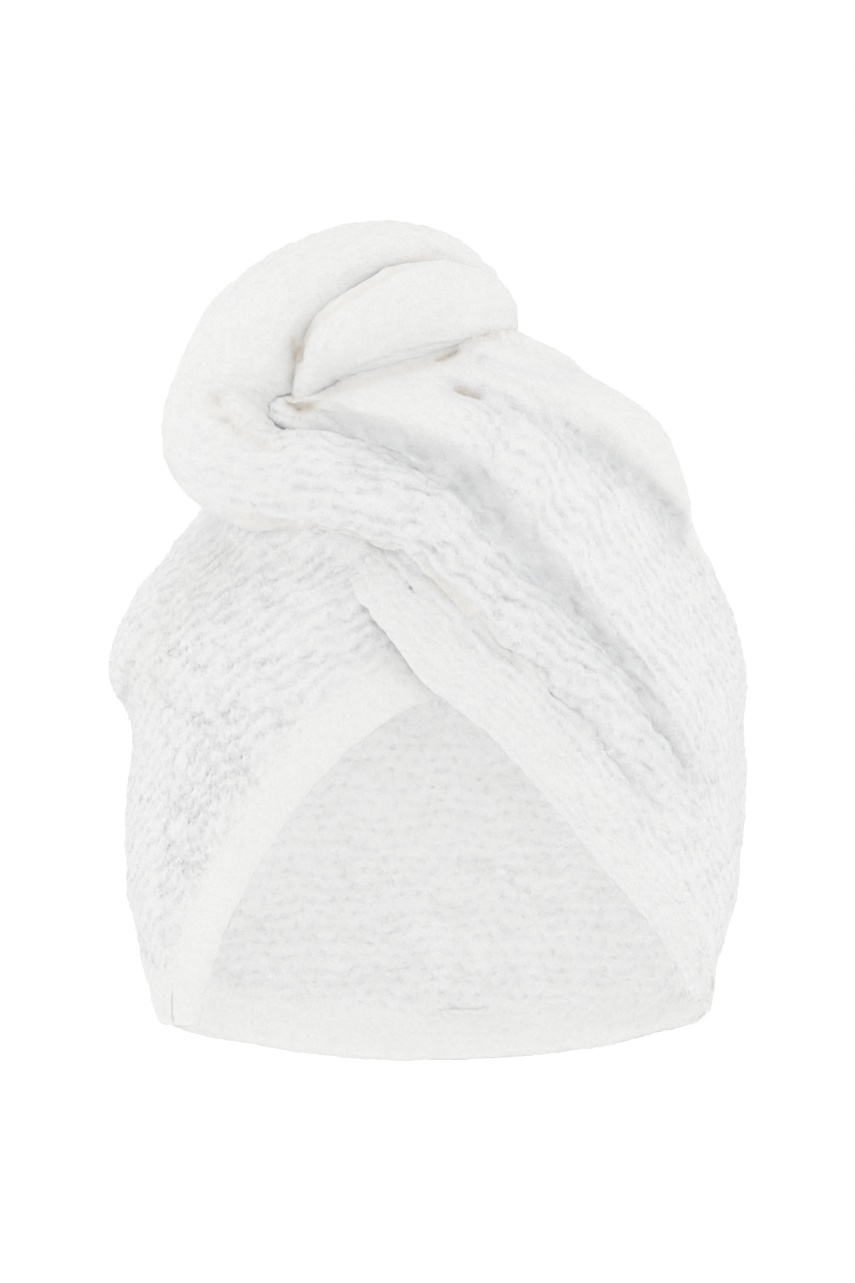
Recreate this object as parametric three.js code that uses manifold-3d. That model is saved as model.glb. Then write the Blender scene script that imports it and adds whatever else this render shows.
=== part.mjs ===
// A hair turban towel of thick waffle towelling, shaped as it is when it is worn.
// Two cloth panels make an open hood and their front edges cross over the forehead. The
// gathered ends are wound into a knot, whose tail runs over the crown to a button at the nape.
// Millimetres, +Z up. The face looks along -Y, and +X is the wearer's left.
// The origin is the seat: the inside of the hood above the middle of the head.
import * as THREE from "three";
import { mergeVertices } from "three/addons/utils/BufferGeometryUtils.js";
import Module from "manifold-3d";

// Sizes of the hood's outside, measured from the seat
const HALF_WIDTH = 104;
const FRONT_DEPTH = 106;
const BACK_DEPTH = 115;
const NAPE_DROP = 228;
const CROWN_RISE = 20;
// Sizes of the cloth and its hems
const CLOTH = 3.2;
const HEM_CLOTH = 4.6;
const FRONT_HEM_WIDTH = 14;
const NAPE_HEM_WIDTH = 13;
const GAP = 0.3;
const SEAM_GAP = 0.5;
const HEM_JOINT_GAP = 0.9;
// Sizes of the knot, the tail and the button
const KNOT_RISE = 52;
const ROLL_RADIUS = 20;
const TAIL_RADIUS = 22;
const BUTTON_RADIUS = 11;
const BUTTON_THICKNESS = 4;
const BUTTON_NECK_RADIUS = 3.5;

// How square the hood's level outlines are: 2 is an ellipse
const SQUARENESS = 2.25;
// How far down the hood the middle of the head lies, as a share of NAPE_DROP
const HEAD_MIDDLE_DROP = 0.4;
// The right panel climbs over the left one between these angles
const LAP_START = -55;
const LAP_FULL = -80;
const LAP_RISE = Math.max(CLOTH, HEM_CLOTH) + GAP;
// The right panel's front edge leans on by this angle above its hem
const LAP_LEAN = 42;
// The left panel is pressed in under the right one between these angles
const TUCK_START = 250;
const TUCK_FULL = 266;
const TUCK_DEPTH = 2.5;

// Level outlines of the hood's outside. height is a share of NAPE_DROP below the seat and of
// CROWN_RISE above it. left and right are shares of HALF_WIDTH, front of FRONT_DEPTH and back
// of BACK_DEPTH, each measured out from the seat.
const HOOD_LEVELS = [
  { name: "nape", height: -1.0, left: 0.77, right: 0.82, front: 0.8, back: 0.8 },
  { name: "hem", height: -0.915, left: 0.84, right: 0.885, front: 0.86, back: 0.845 },
  { name: "ear", height: -0.815, left: 0.91, right: 0.93, front: 0.92, back: 0.905 },
  { name: "jaw", height: -0.725, left: 0.945, right: 0.98, front: 0.96, back: 0.955 },
  { name: "cheek", height: -0.615, left: 0.95, right: 0.995, front: 0.985, back: 0.985 },
  { name: "notch", height: -0.49, left: 0.94, right: 0.995, front: 1.0, back: 1.0 },
  { name: "bulge", height: -0.4, left: 1.0, right: 1.0, front: 1.0, back: 0.99 },
  { name: "temple", height: -0.305, left: 0.93, right: 0.935, front: 0.995, back: 0.935 },
  { name: "brow", height: -0.22, left: 0.78, right: 0.855, front: 0.985, back: 0.84 },
  { name: "shoulder", height: -0.135, left: 0.62, right: 0.8, front: 0.965, back: 0.68 },
  { name: "low_crown", height: -0.055, left: 0.49, right: 0.72, front: 0.93, back: 0.38 },
  { name: "seat", height: 0.16, left: 0.38, right: 0.49, front: 0.87, back: 0.03 },
  { name: "high_crown", height: 0.72, left: 0.16, right: 0.3, front: 0.76, back: -0.16 },
  { name: "throat", height: 1.0, left: -0.06, right: 0.2, front: 0.58, back: -0.28 },
];

// The lines of the hood's lower rim and its two front edges, which run on past the corners
// where they meet. around is the angle about the head in degrees, 0 at the wearer's left ear,
// -90 at the forehead and 90 at the nape. drop is a share of NAPE_DROP.
const NAPE_RIM = [
  { name: "past_left_corner", around: 222, drop: 0.908 },
  { name: "left_corner", around: 205, drop: 0.912 },
  { name: "left_ear", around: 180, drop: 0.922 },
  { name: "behind_left_ear", around: 150, drop: 0.952 },
  { name: "left_of_nape", around: 120, drop: 0.984 },
  { name: "nape", around: 90, drop: 1.0 },
  { name: "right_of_nape", around: 61, drop: 0.983 },
  { name: "behind_right_ear", around: 32, drop: 0.95 },
  { name: "right_ear", around: 5, drop: 0.916 },
  { name: "right_corner", around: -18, drop: 0.885 },
  { name: "past_right_corner", around: -38, drop: 0.86 },
];
const LEFT_FRONT = [
  { name: "below_corner", around: 203, drop: 0.985 },
  { name: "corner", around: 212.5, drop: 0.912 },
  { name: "jaw", around: 225, drop: 0.815 },
  { name: "cheek", around: 234.5, drop: 0.727 },
  { name: "temple", around: 242, drop: 0.642 },
  { name: "brow", around: 250, drop: 0.563 },
  { name: "forehead", around: 260, drop: 0.495 },
  { name: "crossing", around: 270.5, drop: 0.442 },
  { name: "lap", around: 279, drop: 0.408 },
];
const RIGHT_FRONT = [
  { name: "below_corner", around: -9, drop: 0.935 },
  { name: "corner", around: -24, drop: 0.877 },
  { name: "jaw", around: -40, drop: 0.8 },
  { name: "cheek", around: -55, drop: 0.72 },
  { name: "temple", around: -68, drop: 0.62 },
  { name: "brow", around: -80, drop: 0.515 },
  { name: "crossing", around: -89, drop: 0.438 },
  { name: "forehead", around: -96, drop: 0.351 },
  { name: "turn", around: -105, drop: 0.278 },
  { name: "lap", around: -112, drop: 0.21 },
];

// Folds pressed into the front of each panel. Each runs through points seen from the front, x
// as a share of HALF_WIDTH and height as in HOOD_LEVELS. Above it the cloth stands proud by
// lip, below it the cloth dips by dip, and both fade over reach, all in millimetres.
const RIGHT_FOLDS = [
  {
    name: "crossing_fold",
    lip: 8,
    dip: 0.5,
    reach: 26,
    through: [
      { x: -0.34, height: -0.05 },
      { x: -0.2, height: -0.085 },
      { x: 0.02, height: -0.115 },
      { x: 0.14, height: -0.15 },
      { x: 0.21, height: -0.2 },
      { x: 0.38, height: -0.3 },
      { x: 0.56, height: -0.4 },
      { x: 0.73, height: -0.53 },
      { x: 0.87, height: -0.65 },
    ],
  },
  {
    name: "shoulder_fold",
    lip: 6,
    dip: 4,
    reach: 20,
    through: [
      { x: 0.02, height: 0.3 },
      { x: 0.14, height: -0.005 },
      { x: 0.34, height: -0.045 },
      { x: 0.53, height: -0.095 },
      { x: 0.66, height: -0.14 },
      { x: 0.77, height: -0.195 },
      { x: 0.84, height: -0.25 },
    ],
  },
  {
    name: "crown_fold",
    lip: 4,
    dip: 2.5,
    reach: 13,
    through: [
      { x: 0.1, height: 0.55 },
      { x: 0.28, height: 0.4 },
      { x: 0.42, height: 0.22 },
      { x: 0.52, height: 0.1 },
    ],
  },
];
const LEFT_FOLDS = [
  {
    name: "left_pleat",
    lip: 3,
    dip: 4,
    reach: 15,
    through: [
      { x: -0.93, height: -0.48 },
      { x: -0.87, height: -0.37 },
      { x: -0.78, height: -0.28 },
      { x: -0.62, height: -0.2 },
    ],
  },
];

// The knot's two rolls, end to end. x is a share of HALF_WIDTH, y of FRONT_DEPTH, and z of
// NAPE_DROP below the seat and of KNOT_RISE above it. across and proud are half the roll's
// width along the hood and half its depth out from it, as shares of ROLL_RADIUS.
const OUTER_ROLL = [
  { name: "hem_end", x: 0.845, y: -0.51, z: -0.66, across: 0.2, proud: 0.1 },
  { name: "ear", x: 0.73, y: -0.71, z: -0.574, across: 0.46, proud: 0.25 },
  { name: "temple", x: 0.526, y: -0.87, z: -0.447, across: 0.57, proud: 0.36 },
  { name: "brow", x: 0.341, y: -0.955, z: -0.363, across: 0.6, proud: 0.42 },
  { name: "forehead", x: 0.159, y: -0.995, z: -0.274, across: 0.64, proud: 0.46 },
  { name: "crossing", x: 0.038, y: -1.0, z: -0.204, across: 0.7, proud: 0.5 },
  { name: "gather", x: -0.129, y: -0.98, z: -0.166, across: 0.75, proud: 0.56 },
  { name: "turn_in", x: -0.295, y: -0.93, z: -0.145, across: 0.79, proud: 0.68 },
  { name: "turn", x: -0.49, y: -0.84, z: -0.138, across: 0.84, proud: 0.9 },
  { name: "elbow", x: -0.605, y: -0.73, z: -0.088, across: 1.05, proud: 1.1 },
  { name: "side", x: -0.58, y: -0.66, z: -0.022, across: 1.02, proud: 1.08 },
  { name: "rise", x: -0.522, y: -0.64, z: 0.235, across: 1.0, proud: 0.94 },
  { name: "top_in", x: -0.404, y: -0.615, z: 0.487, across: 1.0, proud: 0.82 },
  { name: "top", x: -0.235, y: -0.57, z: 0.68, across: 0.92, proud: 0.72 },
  { name: "over", x: -0.085, y: -0.5, z: 0.715, across: 0.82, proud: 0.68 },
  { name: "behind", x: 0.03, y: -0.36, z: 0.6, across: 0.7, proud: 0.6 },
  { name: "tuck", x: 0.06, y: -0.2, z: 0.44, across: 0.5, proud: 0.45 },
  { name: "inside", x: 0.04, y: -0.07, z: 0.36, across: 0.25, proud: 0.25 },
];
const INNER_ROLL = [
  { name: "pit", x: -0.39, y: -0.79, z: 0.05, across: 0.18, proud: 0.2 },
  { name: "swell", x: -0.3, y: -0.83, z: 0.17, across: 0.48, proud: 0.48 },
  { name: "lobe", x: -0.175, y: -0.85, z: 0.29, across: 0.72, proud: 0.72 },
  { name: "crest", x: -0.053, y: -0.83, z: 0.385, across: 0.82, proud: 0.82 },
  { name: "over", x: 0.056, y: -0.75, z: 0.405, across: 0.84, proud: 0.82 },
  { name: "turn", x: 0.125, y: -0.6, z: 0.385, across: 0.8, proud: 0.77 },
  { name: "tuck", x: 0.13, y: -0.42, z: 0.36, across: 0.66, proud: 0.64 },
  { name: "inside", x: 0.1, y: -0.27, z: 0.3, across: 0.4, proud: 0.4 },
];

// The tail over the crown and down the back. pitch is the angle from straight up towards the
// back, about the middle of the head. aside is a share of HALF_WIDTH, and across and proud
// are half its width and half its thickness as shares of TAIL_RADIUS.
const TAIL = [
  { name: "under_knot", pitch: -27, aside: 0.04, across: 0.7, proud: 0.5 },
  { name: "root", pitch: -12, aside: 0.04, across: 1.0, proud: 0.78 },
  { name: "crown", pitch: 4, aside: 0.01, across: 1.2, proud: 0.9 },
  { name: "back_crown", pitch: 20, aside: -0.01, across: 1.25, proud: 0.92 },
  { name: "fall", pitch: 38, aside: -0.015, across: 1.2, proud: 0.86 },
  { name: "shoulder", pitch: 56, aside: -0.01, across: 1.08, proud: 0.78 },
  { name: "back", pitch: 73, aside: 0.0, across: 0.95, proud: 0.68 },
  { name: "bulge", pitch: 89, aside: 0.01, across: 0.82, proud: 0.56 },
  { name: "neck", pitch: 104, aside: 0.01, across: 0.73, proud: 0.45 },
  { name: "taper", pitch: 119, aside: 0.0, across: 0.65, proud: 0.32 },
  { name: "strap", pitch: 132, aside: 0.0, across: 0.6, proud: 0.18 },
  { name: "tip", pitch: 142, aside: 0.0, across: 0.5, proud: 0.14 },
];
// The share of its half thickness by which the tail's middle stands off the hood
const TAIL_BEDDING = 0.72;
// The turns and the depth of the groove between the tail's two strands, and where along the
// tail the groove starts to flatten and is gone
const TAIL_TWIST_TURNS = 1.8;
const TAIL_GROOVE = 0.3;
const TAIL_FLATTENS = 0.7;
const TAIL_IS_FLAT = 0.86;
// Where along the tail its button sits
const BUTTON_PLACE = 0.93;

// Facets
const NAPE_COLUMNS = 14;
const FRONT_COLUMNS = 14;
const PANEL_ROWS = 17;
const HEM_COLUMNS = 25;
const NAPE_HEM_COLUMNS = 26;
const HEM_ROWS = 5;
const ROLL_SIDES = 16;
const OUTER_ROLL_STEPS = 32;
const INNER_ROLL_STEPS = 15;
const TAIL_STEPS = 25;
const BUTTON_SIDES = 20;

const { sin, cos, abs, sign, PI, min, max } = Math;
const RADIANS = PI / 180;
const HEAD_MIDDLE = new THREE.Vector3(0, 0, -HEAD_MIDDLE_DROP * NAPE_DROP);

const across = (share) => share * HALF_WIDTH;
const deep = (share) => share * (share < 0 ? FRONT_DEPTH : BACK_DEPTH);
const hoodHeight = (share) => share * (share < 0 ? NAPE_DROP : CROWN_RISE);
const knotHeight = (share) => share * (share < 0 ? NAPE_DROP : KNOT_RISE);

// A smooth step from 0 at a to 1 at b
function ease(a, b, value) {
  const t = min(1, max(0, (value - a) / (b - a)));
  return t * t * (3 - 2 * t);
}

// A smooth curve through one column of a table, at t from 0 at its first row to 1 at its last
function along(rows, column, t) {
  const place = min(0.999999, max(0, t)) * (rows.length - 1);
  const i = Math.floor(place);
  const f = place - i;
  const value = (k) => rows[min(rows.length - 1, max(0, k))][column];
  const [a, b, c, d] = [value(i - 1), value(i), value(i + 1), value(i + 2)];
  return b + 0.5 * f * (c - a + f * (2 * a - 5 * b + 4 * c - d + f * (3 * (b - c) + d - a)));
}

// The place from 0 to 1 where a rising function passes zero
function rootOf(rising) {
  let low = 0;
  let high = 1;
  for (let i = 0; i < 40; i++) {
    const middle = (low + high) / 2;
    if (rising(middle) < 0) low = middle;
    else high = middle;
  }
  return (low + high) / 2;
}

// The hood's surface

const LEVELS = HOOD_LEVELS.map((row) => ({
  z: hoodHeight(row.height),
  left: -row.left * HALF_WIDTH,
  right: row.right * HALF_WIDTH,
  front: -row.front * FRONT_DEPTH,
  back: row.back * BACK_DEPTH,
}));

// The outline at level t: its height, its middle and its half sizes
function levelAt(t) {
  const left = along(LEVELS, "left", t);
  const right = along(LEVELS, "right", t);
  const front = along(LEVELS, "front", t);
  const back = along(LEVELS, "back", t);
  return {
    z: along(LEVELS, "z", t),
    x: (left + right) / 2,
    y: (front + back) / 2,
    halfX: (right - left) / 2,
    halfY: (back - front) / 2,
  };
}

const levelOf = (z) => rootOf((t) => along(LEVELS, "z", t) - z);

// A point of the hood's smooth outside, before its folds
function hoodBase({ angle, t }) {
  const level = levelAt(t);
  const c = cos(angle * RADIANS);
  const s = sin(angle * RADIANS);
  return new THREE.Vector3(
    level.x + level.halfX * sign(c) * abs(c) ** (2 / SQUARENESS),
    level.y + level.halfY * sign(s) * abs(s) ** (2 / SQUARENESS),
    level.z,
  );
}

// The hood's outward direction there
function hoodNormal({ angle, t }) {
  const step = 0.004;
  const round = hoodBase({ angle: angle + 1, t }).sub(hoodBase({ angle: angle - 1, t }));
  const above = hoodBase({ angle, t: min(1, t + step) });
  const below = hoodBase({ angle, t: max(0, t - step) });
  return round.cross(above.sub(below)).normalize();
}

// How far out a point lies in the level outline at its height: 1 is on the hood's outside
function outlineShare(point, level) {
  const u = abs(point.x - level.x) / level.halfX;
  const v = abs(point.y - level.y) / level.halfY;
  return (u ** SQUARENESS + v ** SQUARENESS) ** (1 / SQUARENESS);
}

// The angle and level of a point that lies near the hood's outside, near a known angle
function placeOf(point, near) {
  const t = levelOf(point.z);
  const level = levelAt(t);
  const u = (point.x - level.x) / level.halfX;
  const v = (point.y - level.y) / level.halfY;
  const c = sign(u) * abs(u) ** (SQUARENESS / 2);
  const s = sign(v) * abs(v) ** (SQUARENESS / 2);
  const angle = Math.atan2(s, c) / RADIANS;
  return { angle: angle + 360 * Math.round((near - angle) / 360), t };
}

// The point of the hood's front that is seen at x and z
function frontPoint(x, z) {
  const level = levelAt(levelOf(z));
  const u = min(1, abs(x - level.x) / level.halfX);
  const y = level.y - level.halfY * (1 - u ** SQUARENESS) ** (1 / SQUARENESS);
  return new THREE.Vector3(x, y, z);
}

// The point where a ray from the middle of the head leaves the hood
function rayPoint(direction) {
  const reach = 2 * max(NAPE_DROP, HALF_WIDTH, BACK_DEPTH);
  const at = (share) => HEAD_MIDDLE.clone().addScaledVector(direction, share * reach);
  const leaves = rootOf((share) => {
    const point = at(share);
    if (point.z > CROWN_RISE) return 1;
    return outlineShare(point, levelAt(levelOf(point.z))) - 1;
  });
  return at(leaves);
}

// The folds of a panel, with their lines in millimetres
function foldLines(folds) {
  return folds.map((fold) => ({
    ...fold,
    line: fold.through.map(({ x, height }) => frontPoint(across(x), hoodHeight(height))),
  }));
}

// How far a fold moves the cloth out at a point
function foldShift(fold, point) {
  let nearest = Infinity;
  let above = false;
  let run = 0;
  fold.line.slice(1).forEach((b, i) => {
    const a = fold.line[i];
    const segment = b.clone().sub(a);
    const f = min(1, max(0, point.clone().sub(a).dot(segment) / segment.lengthSq()));
    const away = point.clone().sub(a).addScaledVector(segment, -f);
    if (away.length() >= nearest) return;
    nearest = away.length();
    above = segment.z * away.x - segment.x * away.z < 0;
    run = (i + f) / (fold.line.length - 1);
  });
  const strength = ease(0, 0.12, run) * ease(1, 0.8, run);
  const near = nearest / fold.reach;
  const proud = fold.lip * Math.exp(-near * near) * ease(0, 0.22, near);
  const sunk = fold.dip * Math.exp(-4 * near * near);
  return strength * (above ? proud - sunk / 2 : -sunk);
}

// How far out each panel's cloth lies from the smooth hood, at a place and a point there
const leftFolds = foldLines(LEFT_FOLDS);
const rightFolds = foldLines(RIGHT_FOLDS);
function leftShift(angle, point) {
  const tuck = TUCK_DEPTH * ease(TUCK_START, TUCK_FULL, angle);
  return leftFolds.reduce((sum, fold) => sum + foldShift(fold, point), -tuck);
}
function rightShift(angle, point) {
  const lap = LAP_RISE * ease(LAP_START, LAP_FULL, angle);
  return rightFolds.reduce((sum, fold) => sum + foldShift(fold, point), lap);
}

// Places on the panels and hems, as an angle and a level

// The line that runs a width in from a front edge
function frontPlace(edge, q, width) {
  const at = (share) => ({
    angle: along(edge, "around", share),
    t: levelOf(-along(edge, "drop", share) * NAPE_DROP),
  });
  const here = at(q);
  if (width === 0) return here;
  const step = 0.01;
  const tangent = hoodBase(at(min(1, q + step))).sub(hoodBase(at(max(0, q - step))));
  const inward = hoodNormal(here).cross(tangent).normalize();
  if (inward.z < 0) inward.negate();
  return placeOf(hoodBase(here).addScaledVector(inward, width), here.angle);
}

// The height of the nape rim at an angle
function rimHeight(angle) {
  const q = rootOf((share) => angle - along(NAPE_RIM, "around", share));
  return -along(NAPE_RIM, "drop", q) * NAPE_DROP;
}

// Where the line a width in from a front edge stands at a height above the nape rim
function frontStart(edge, width, rise) {
  return rootOf((q) => {
    const place = frontPlace(edge, q, width);
    return levelAt(place.t).z - rimHeight(place.angle) - rise;
  });
}

function mixPlaces(a, b, f) {
  return { angle: a.angle + (b.angle - a.angle) * f, t: a.t + (b.t - a.t) * f };
}

// A front hem, with u along it from the nape rim and v in from its free edge
function frontHemPlaces(edge) {
  const line = (width) => {
    const start = frontStart(edge, width, 0);
    return (u) => frontPlace(edge, start + (1 - start) * u, width);
  };
  const free = line(0);
  const inner = line(FRONT_HEM_WIDTH);
  return (u, v) => mixPlaces(free(u), inner(u), v);
}

// The nape hem, with u round it from the left front hem to the right one and v up it
function napeHemPlaces() {
  const width = FRONT_HEM_WIDTH + HEM_JOINT_GAP;
  const end = (edge, rise) => frontPlace(edge, frontStart(edge, width, rise), width).angle;
  return (u, v) => {
    const rise = NAPE_HEM_WIDTH * v;
    const left = end(LEFT_FRONT, rise);
    const angle = left + (end(RIGHT_FRONT, rise) - left) * u;
    return { angle, t: levelOf(rimHeight(angle) + rise) };
  };
}

// A panel, with u from the seam at the back to its front edge and v up to the throat. Its
// front edge leans on round the head by a number of degrees on its way up.
function panelPlaces(edge, lean) {
  const width = FRONT_HEM_WIDTH + SEAM_GAP;
  const rise = NAPE_HEM_WIDTH + SEAM_GAP;
  const start = frontStart(edge, width, rise);
  const corner = frontPlace(edge, start, width).angle;
  const napeShare = NAPE_COLUMNS / (NAPE_COLUMNS + FRONT_COLUMNS);
  const seamSide = sign(corner - 90);
  const lowest = (u) => {
    if (u > napeShare) {
      const q = (u - napeShare) / (1 - napeShare);
      return frontPlace(edge, start + (1 - start) * q, width);
    }
    const angle = 90 + (corner - 90) * (u / napeShare);
    return { angle, t: levelOf(rimHeight(angle) + rise) };
  };
  return (u, v) => {
    const low = lowest(u);
    const t = low.t + (1 - low.t) * v;
    const seam = (GAP / 2 / levelAt(t).halfX) ** (SQUARENESS / 2) / RADIANS;
    const leant = lean * ease(0.75, 1, u) * ease(0, 0.4, v);
    return { angle: low.angle + seamSide * (leant + (u === 0 ? seam : 0)), t };
  };
}

// Closed meshes

// A geometry whose faces point out
function closedGeometry(positions, faces) {
  const corner = (k) => new THREE.Vector3().fromArray(positions, 3 * faces[k]);
  let volume = 0;
  for (let k = 0; k < faces.length; k += 3) {
    volume += corner(k).cross(corner(k + 1)).dot(corner(k + 2));
  }
  return new THREE.BufferGeometry()
    .setAttribute("position", new THREE.Float32BufferAttribute(positions, 3))
    .setIndex(volume < 0 ? faces.reverse() : faces);
}

// A closed sheet between two faces, whose points are functions of u and v
function sheet(outside, inside, columns, rows) {
  const positions = [];
  const faces = [];
  const grid = (point) =>
    Array.from({ length: columns + 1 }, (_, i) =>
      Array.from({ length: rows + 1 }, (_, j) => {
        positions.push(...point(i / columns, j / rows));
        return positions.length / 3 - 1;
      }),
    );
  const top = grid(outside);
  const under = grid(inside);
  const quad = (a, b, c, d) => faces.push(a, b, c, a, c, d);
  for (let i = 0; i < columns; i++) {
    for (let j = 0; j < rows; j++) {
      quad(top[i][j], top[i + 1][j], top[i + 1][j + 1], top[i][j + 1]);
      quad(under[i][j], under[i][j + 1], under[i + 1][j + 1], under[i + 1][j]);
    }
    quad(top[i][0], under[i][0], under[i + 1][0], top[i + 1][0]);
    quad(top[i][rows], top[i + 1][rows], under[i + 1][rows], under[i][rows]);
  }
  for (let j = 0; j < rows; j++) {
    quad(top[0][j], top[0][j + 1], under[0][j + 1], under[0][j]);
    quad(top[columns][j], under[columns][j], under[columns][j + 1], top[columns][j + 1]);
  }
  return closedGeometry(positions, faces);
}

// A closed tube through rings of points
function tube(rings) {
  const sides = rings[0].length;
  const positions = rings.flat().flatMap((point) => [...point]);
  const faces = [];
  const middle = (ring) => {
    const sum = ring.reduce((total, point) => total.add(point), new THREE.Vector3());
    positions.push(...sum.divideScalar(sides));
    return positions.length / 3 - 1;
  };
  const last = (rings.length - 1) * sides;
  const first = middle(rings[0]);
  const end = middle(rings[rings.length - 1]);
  for (let k = 0; k < sides; k++) {
    const next = (k + 1) % sides;
    faces.push(first, next, k, end, last + k, last + next);
    for (let i = 0; i < last; i += sides) {
      faces.push(i + k, i + next, i + sides + next, i + k, i + sides + next, i + sides + k);
    }
  }
  return closedGeometry(positions, faces);
}

const wasm = await Module();
wasm.setup();

function toSolid(geometry) {
  geometry.deleteAttribute("normal");
  geometry.deleteAttribute("uv");
  const merged = mergeVertices(geometry);
  const vertProperties = merged.attributes.position.array;
  const triVerts = Uint32Array.from(merged.index.array);
  return new wasm.Manifold(new wasm.Mesh({ numProp: 3, vertProperties, triVerts }));
}

function toGeometry(solid) {
  const { vertProperties, triVerts } = solid.getMesh();
  return new THREE.BufferGeometry()
    .setAttribute("position", new THREE.BufferAttribute(vertProperties, 3))
    .setIndex(Array.from(triVerts));
}

// The largest body of a solid that a cut may have parted
function largest(solid) {
  const bodies = solid.decompose();
  return bodies.reduce((best, body) => (body.volume() > best.volume() ? body : best));
}

// The panels and hems, and what they cut from whatever lies on them

const leftPanelPlaces = panelPlaces(LEFT_FRONT, 0);
const rightPanelPlaces = panelPlaces(RIGHT_FRONT, LAP_LEAN);
const leftHemPlaces = frontHemPlaces(LEFT_FRONT);
const rightHemPlaces = frontHemPlaces(RIGHT_FRONT);
const napePlaces = napeHemPlaces();
const PANEL_COLUMNS = NAPE_COLUMNS + FRONT_COLUMNS;

// One face of a piece of cloth, out from where the hood's outside lies
function clothFace(places, shift, out) {
  return (u, v) => {
    const place = places(u, v);
    const base = hoodBase(place);
    return base.addScaledVector(hoodNormal(place), shift(place.angle, base) + out(v));
  };
}

// Half the thickness of a hem, rounded at its free edge
function hemHalf(v) {
  const free = min(1, 0.5 + 2.5 * v);
  return (free * HEM_CLOTH) / 2 + ((CLOTH - HEM_CLOTH) / 2) * ease(0.75, 1, v);
}

// The outer and inner faces of a panel and of a hem, each with a clearance outside it
const panelOut = (clearance) => () => clearance;
const panelIn = (clearance) => () => -CLOTH - clearance;
const hemOut = (clearance) => (v) => hemHalf(v) - CLOTH / 2 + clearance;
const hemIn = (clearance) => (v) => -hemHalf(v) - CLOTH / 2 - clearance;

function panel(places, shift, clearance) {
  const outside = clothFace(places, shift, panelOut(clearance));
  const inside = clothFace(places, shift, panelIn(clearance));
  return sheet(outside, inside, PANEL_COLUMNS, PANEL_ROWS);
}

function hem(places, shift, columns, clearance) {
  const outside = clothFace(places, shift, hemOut(clearance));
  const inside = clothFace(places, shift, hemIn(clearance));
  return sheet(outside, inside, columns, HEM_ROWS);
}

// The same places, a little wider past the seam at the back and past the front edge
function widened(places) {
  const beyond = (2 * GAP) / HALF_WIDTH / RADIANS;
  const side = sign(places(1, 0).angle - places(0, 0).angle);
  const shift = (u) => (u === 1 ? 1 : 0) - (u === 0 ? 1 : 0);
  return (u, v) => {
    const { angle, t } = places(u, v);
    return { angle: angle + side * beyond * shift(u), t };
  };
}

// The same hem places, a little past both edges
function overhung(places, width) {
  const beyond = (1.2 * SEAM_GAP) / width;
  return (u, v) => mixPlaces(places(u, 0), places(u, 1), v * (1 + 2 * beyond) - beyond);
}

// The room inside a panel, from the middle of its cloth to far inside the head
function innerRoom(places, shift) {
  const outside = clothFace(places, shift, () => -CLOTH / 2);
  const inside = (u, v) => outside(u, v).lerp(HEAD_MIDDLE, 0.5);
  return sheet(outside, inside, PANEL_COLUMNS, PANEL_ROWS);
}

// The room over the throat, where the panels leave a hole below the knot
function throatRoom() {
  const throat = levelAt(1);
  const height = NAPE_DROP / 4;
  const plug = new THREE.CylinderGeometry(1, 1, height, ROLL_SIDES);
  plug.rotateX(PI / 2);
  plug.scale(throat.halfX + CLOTH, throat.halfY + CLOTH, 1);
  plug.translate(throat.x, throat.y, throat.z + LAP_RISE + GAP - height / 2);
  return plug;
}

// What the hood and its hems take from whatever lies on them
const leftRoomPlaces = widened(leftPanelPlaces);
const rightRoomPlaces = widened(rightPanelPlaces);
const rightHemRoom = widened(overhung(rightHemPlaces, FRONT_HEM_WIDTH));
const napeHemRoom = overhung(napePlaces, NAPE_HEM_WIDTH);
const hoodRoom = [
  panel(leftRoomPlaces, leftShift, GAP),
  panel(rightRoomPlaces, rightShift, GAP),
  innerRoom(leftRoomPlaces, leftShift),
  innerRoom(rightRoomPlaces, rightShift),
  hem(rightHemRoom, rightShift, HEM_COLUMNS, GAP),
  hem(napeHemRoom, leftShift, NAPE_HEM_COLUMNS, GAP),
  throatRoom(),
].map(toSolid);

// The knot and its tail

// The rows of a roll in millimetres
function rollPath(rows) {
  return rows.map((row) => ({
    x: across(row.x),
    y: deep(row.y),
    z: knotHeight(row.z),
    across: row.across * ROLL_RADIUS,
    proud: row.proud * ROLL_RADIUS,
  }));
}

// The rows of the tail in millimetres, bedded on the hood
function tailPath() {
  return TAIL.map((row) => {
    const pitch = row.pitch * RADIANS;
    const ray = new THREE.Vector3(0, sin(pitch), cos(pitch));
    const proud = row.proud * TAIL_RADIUS;
    const centre = rayPoint(ray).addScaledVector(ray, TAIL_BEDDING * proud);
    const { y, z } = centre;
    return { x: across(row.aside), y, z, across: row.across * TAIL_RADIUS, proud };
  });
}

// The middle of a path and its two section directions, at t from end to end
function sectionAt(path, t) {
  const at = (s) => new THREE.Vector3(...["x", "y", "z"].map((axis) => along(path, axis, s)));
  const step = 0.01;
  const centre = at(t);
  const tangent = at(min(1, t + step)).sub(at(max(0, t - step))).normalize();
  const proud = centre.clone().sub(HEAD_MIDDLE);
  proud.addScaledVector(tangent, -proud.dot(tangent)).normalize();
  return { centre, proud, across: tangent.cross(proud) };
}

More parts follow.
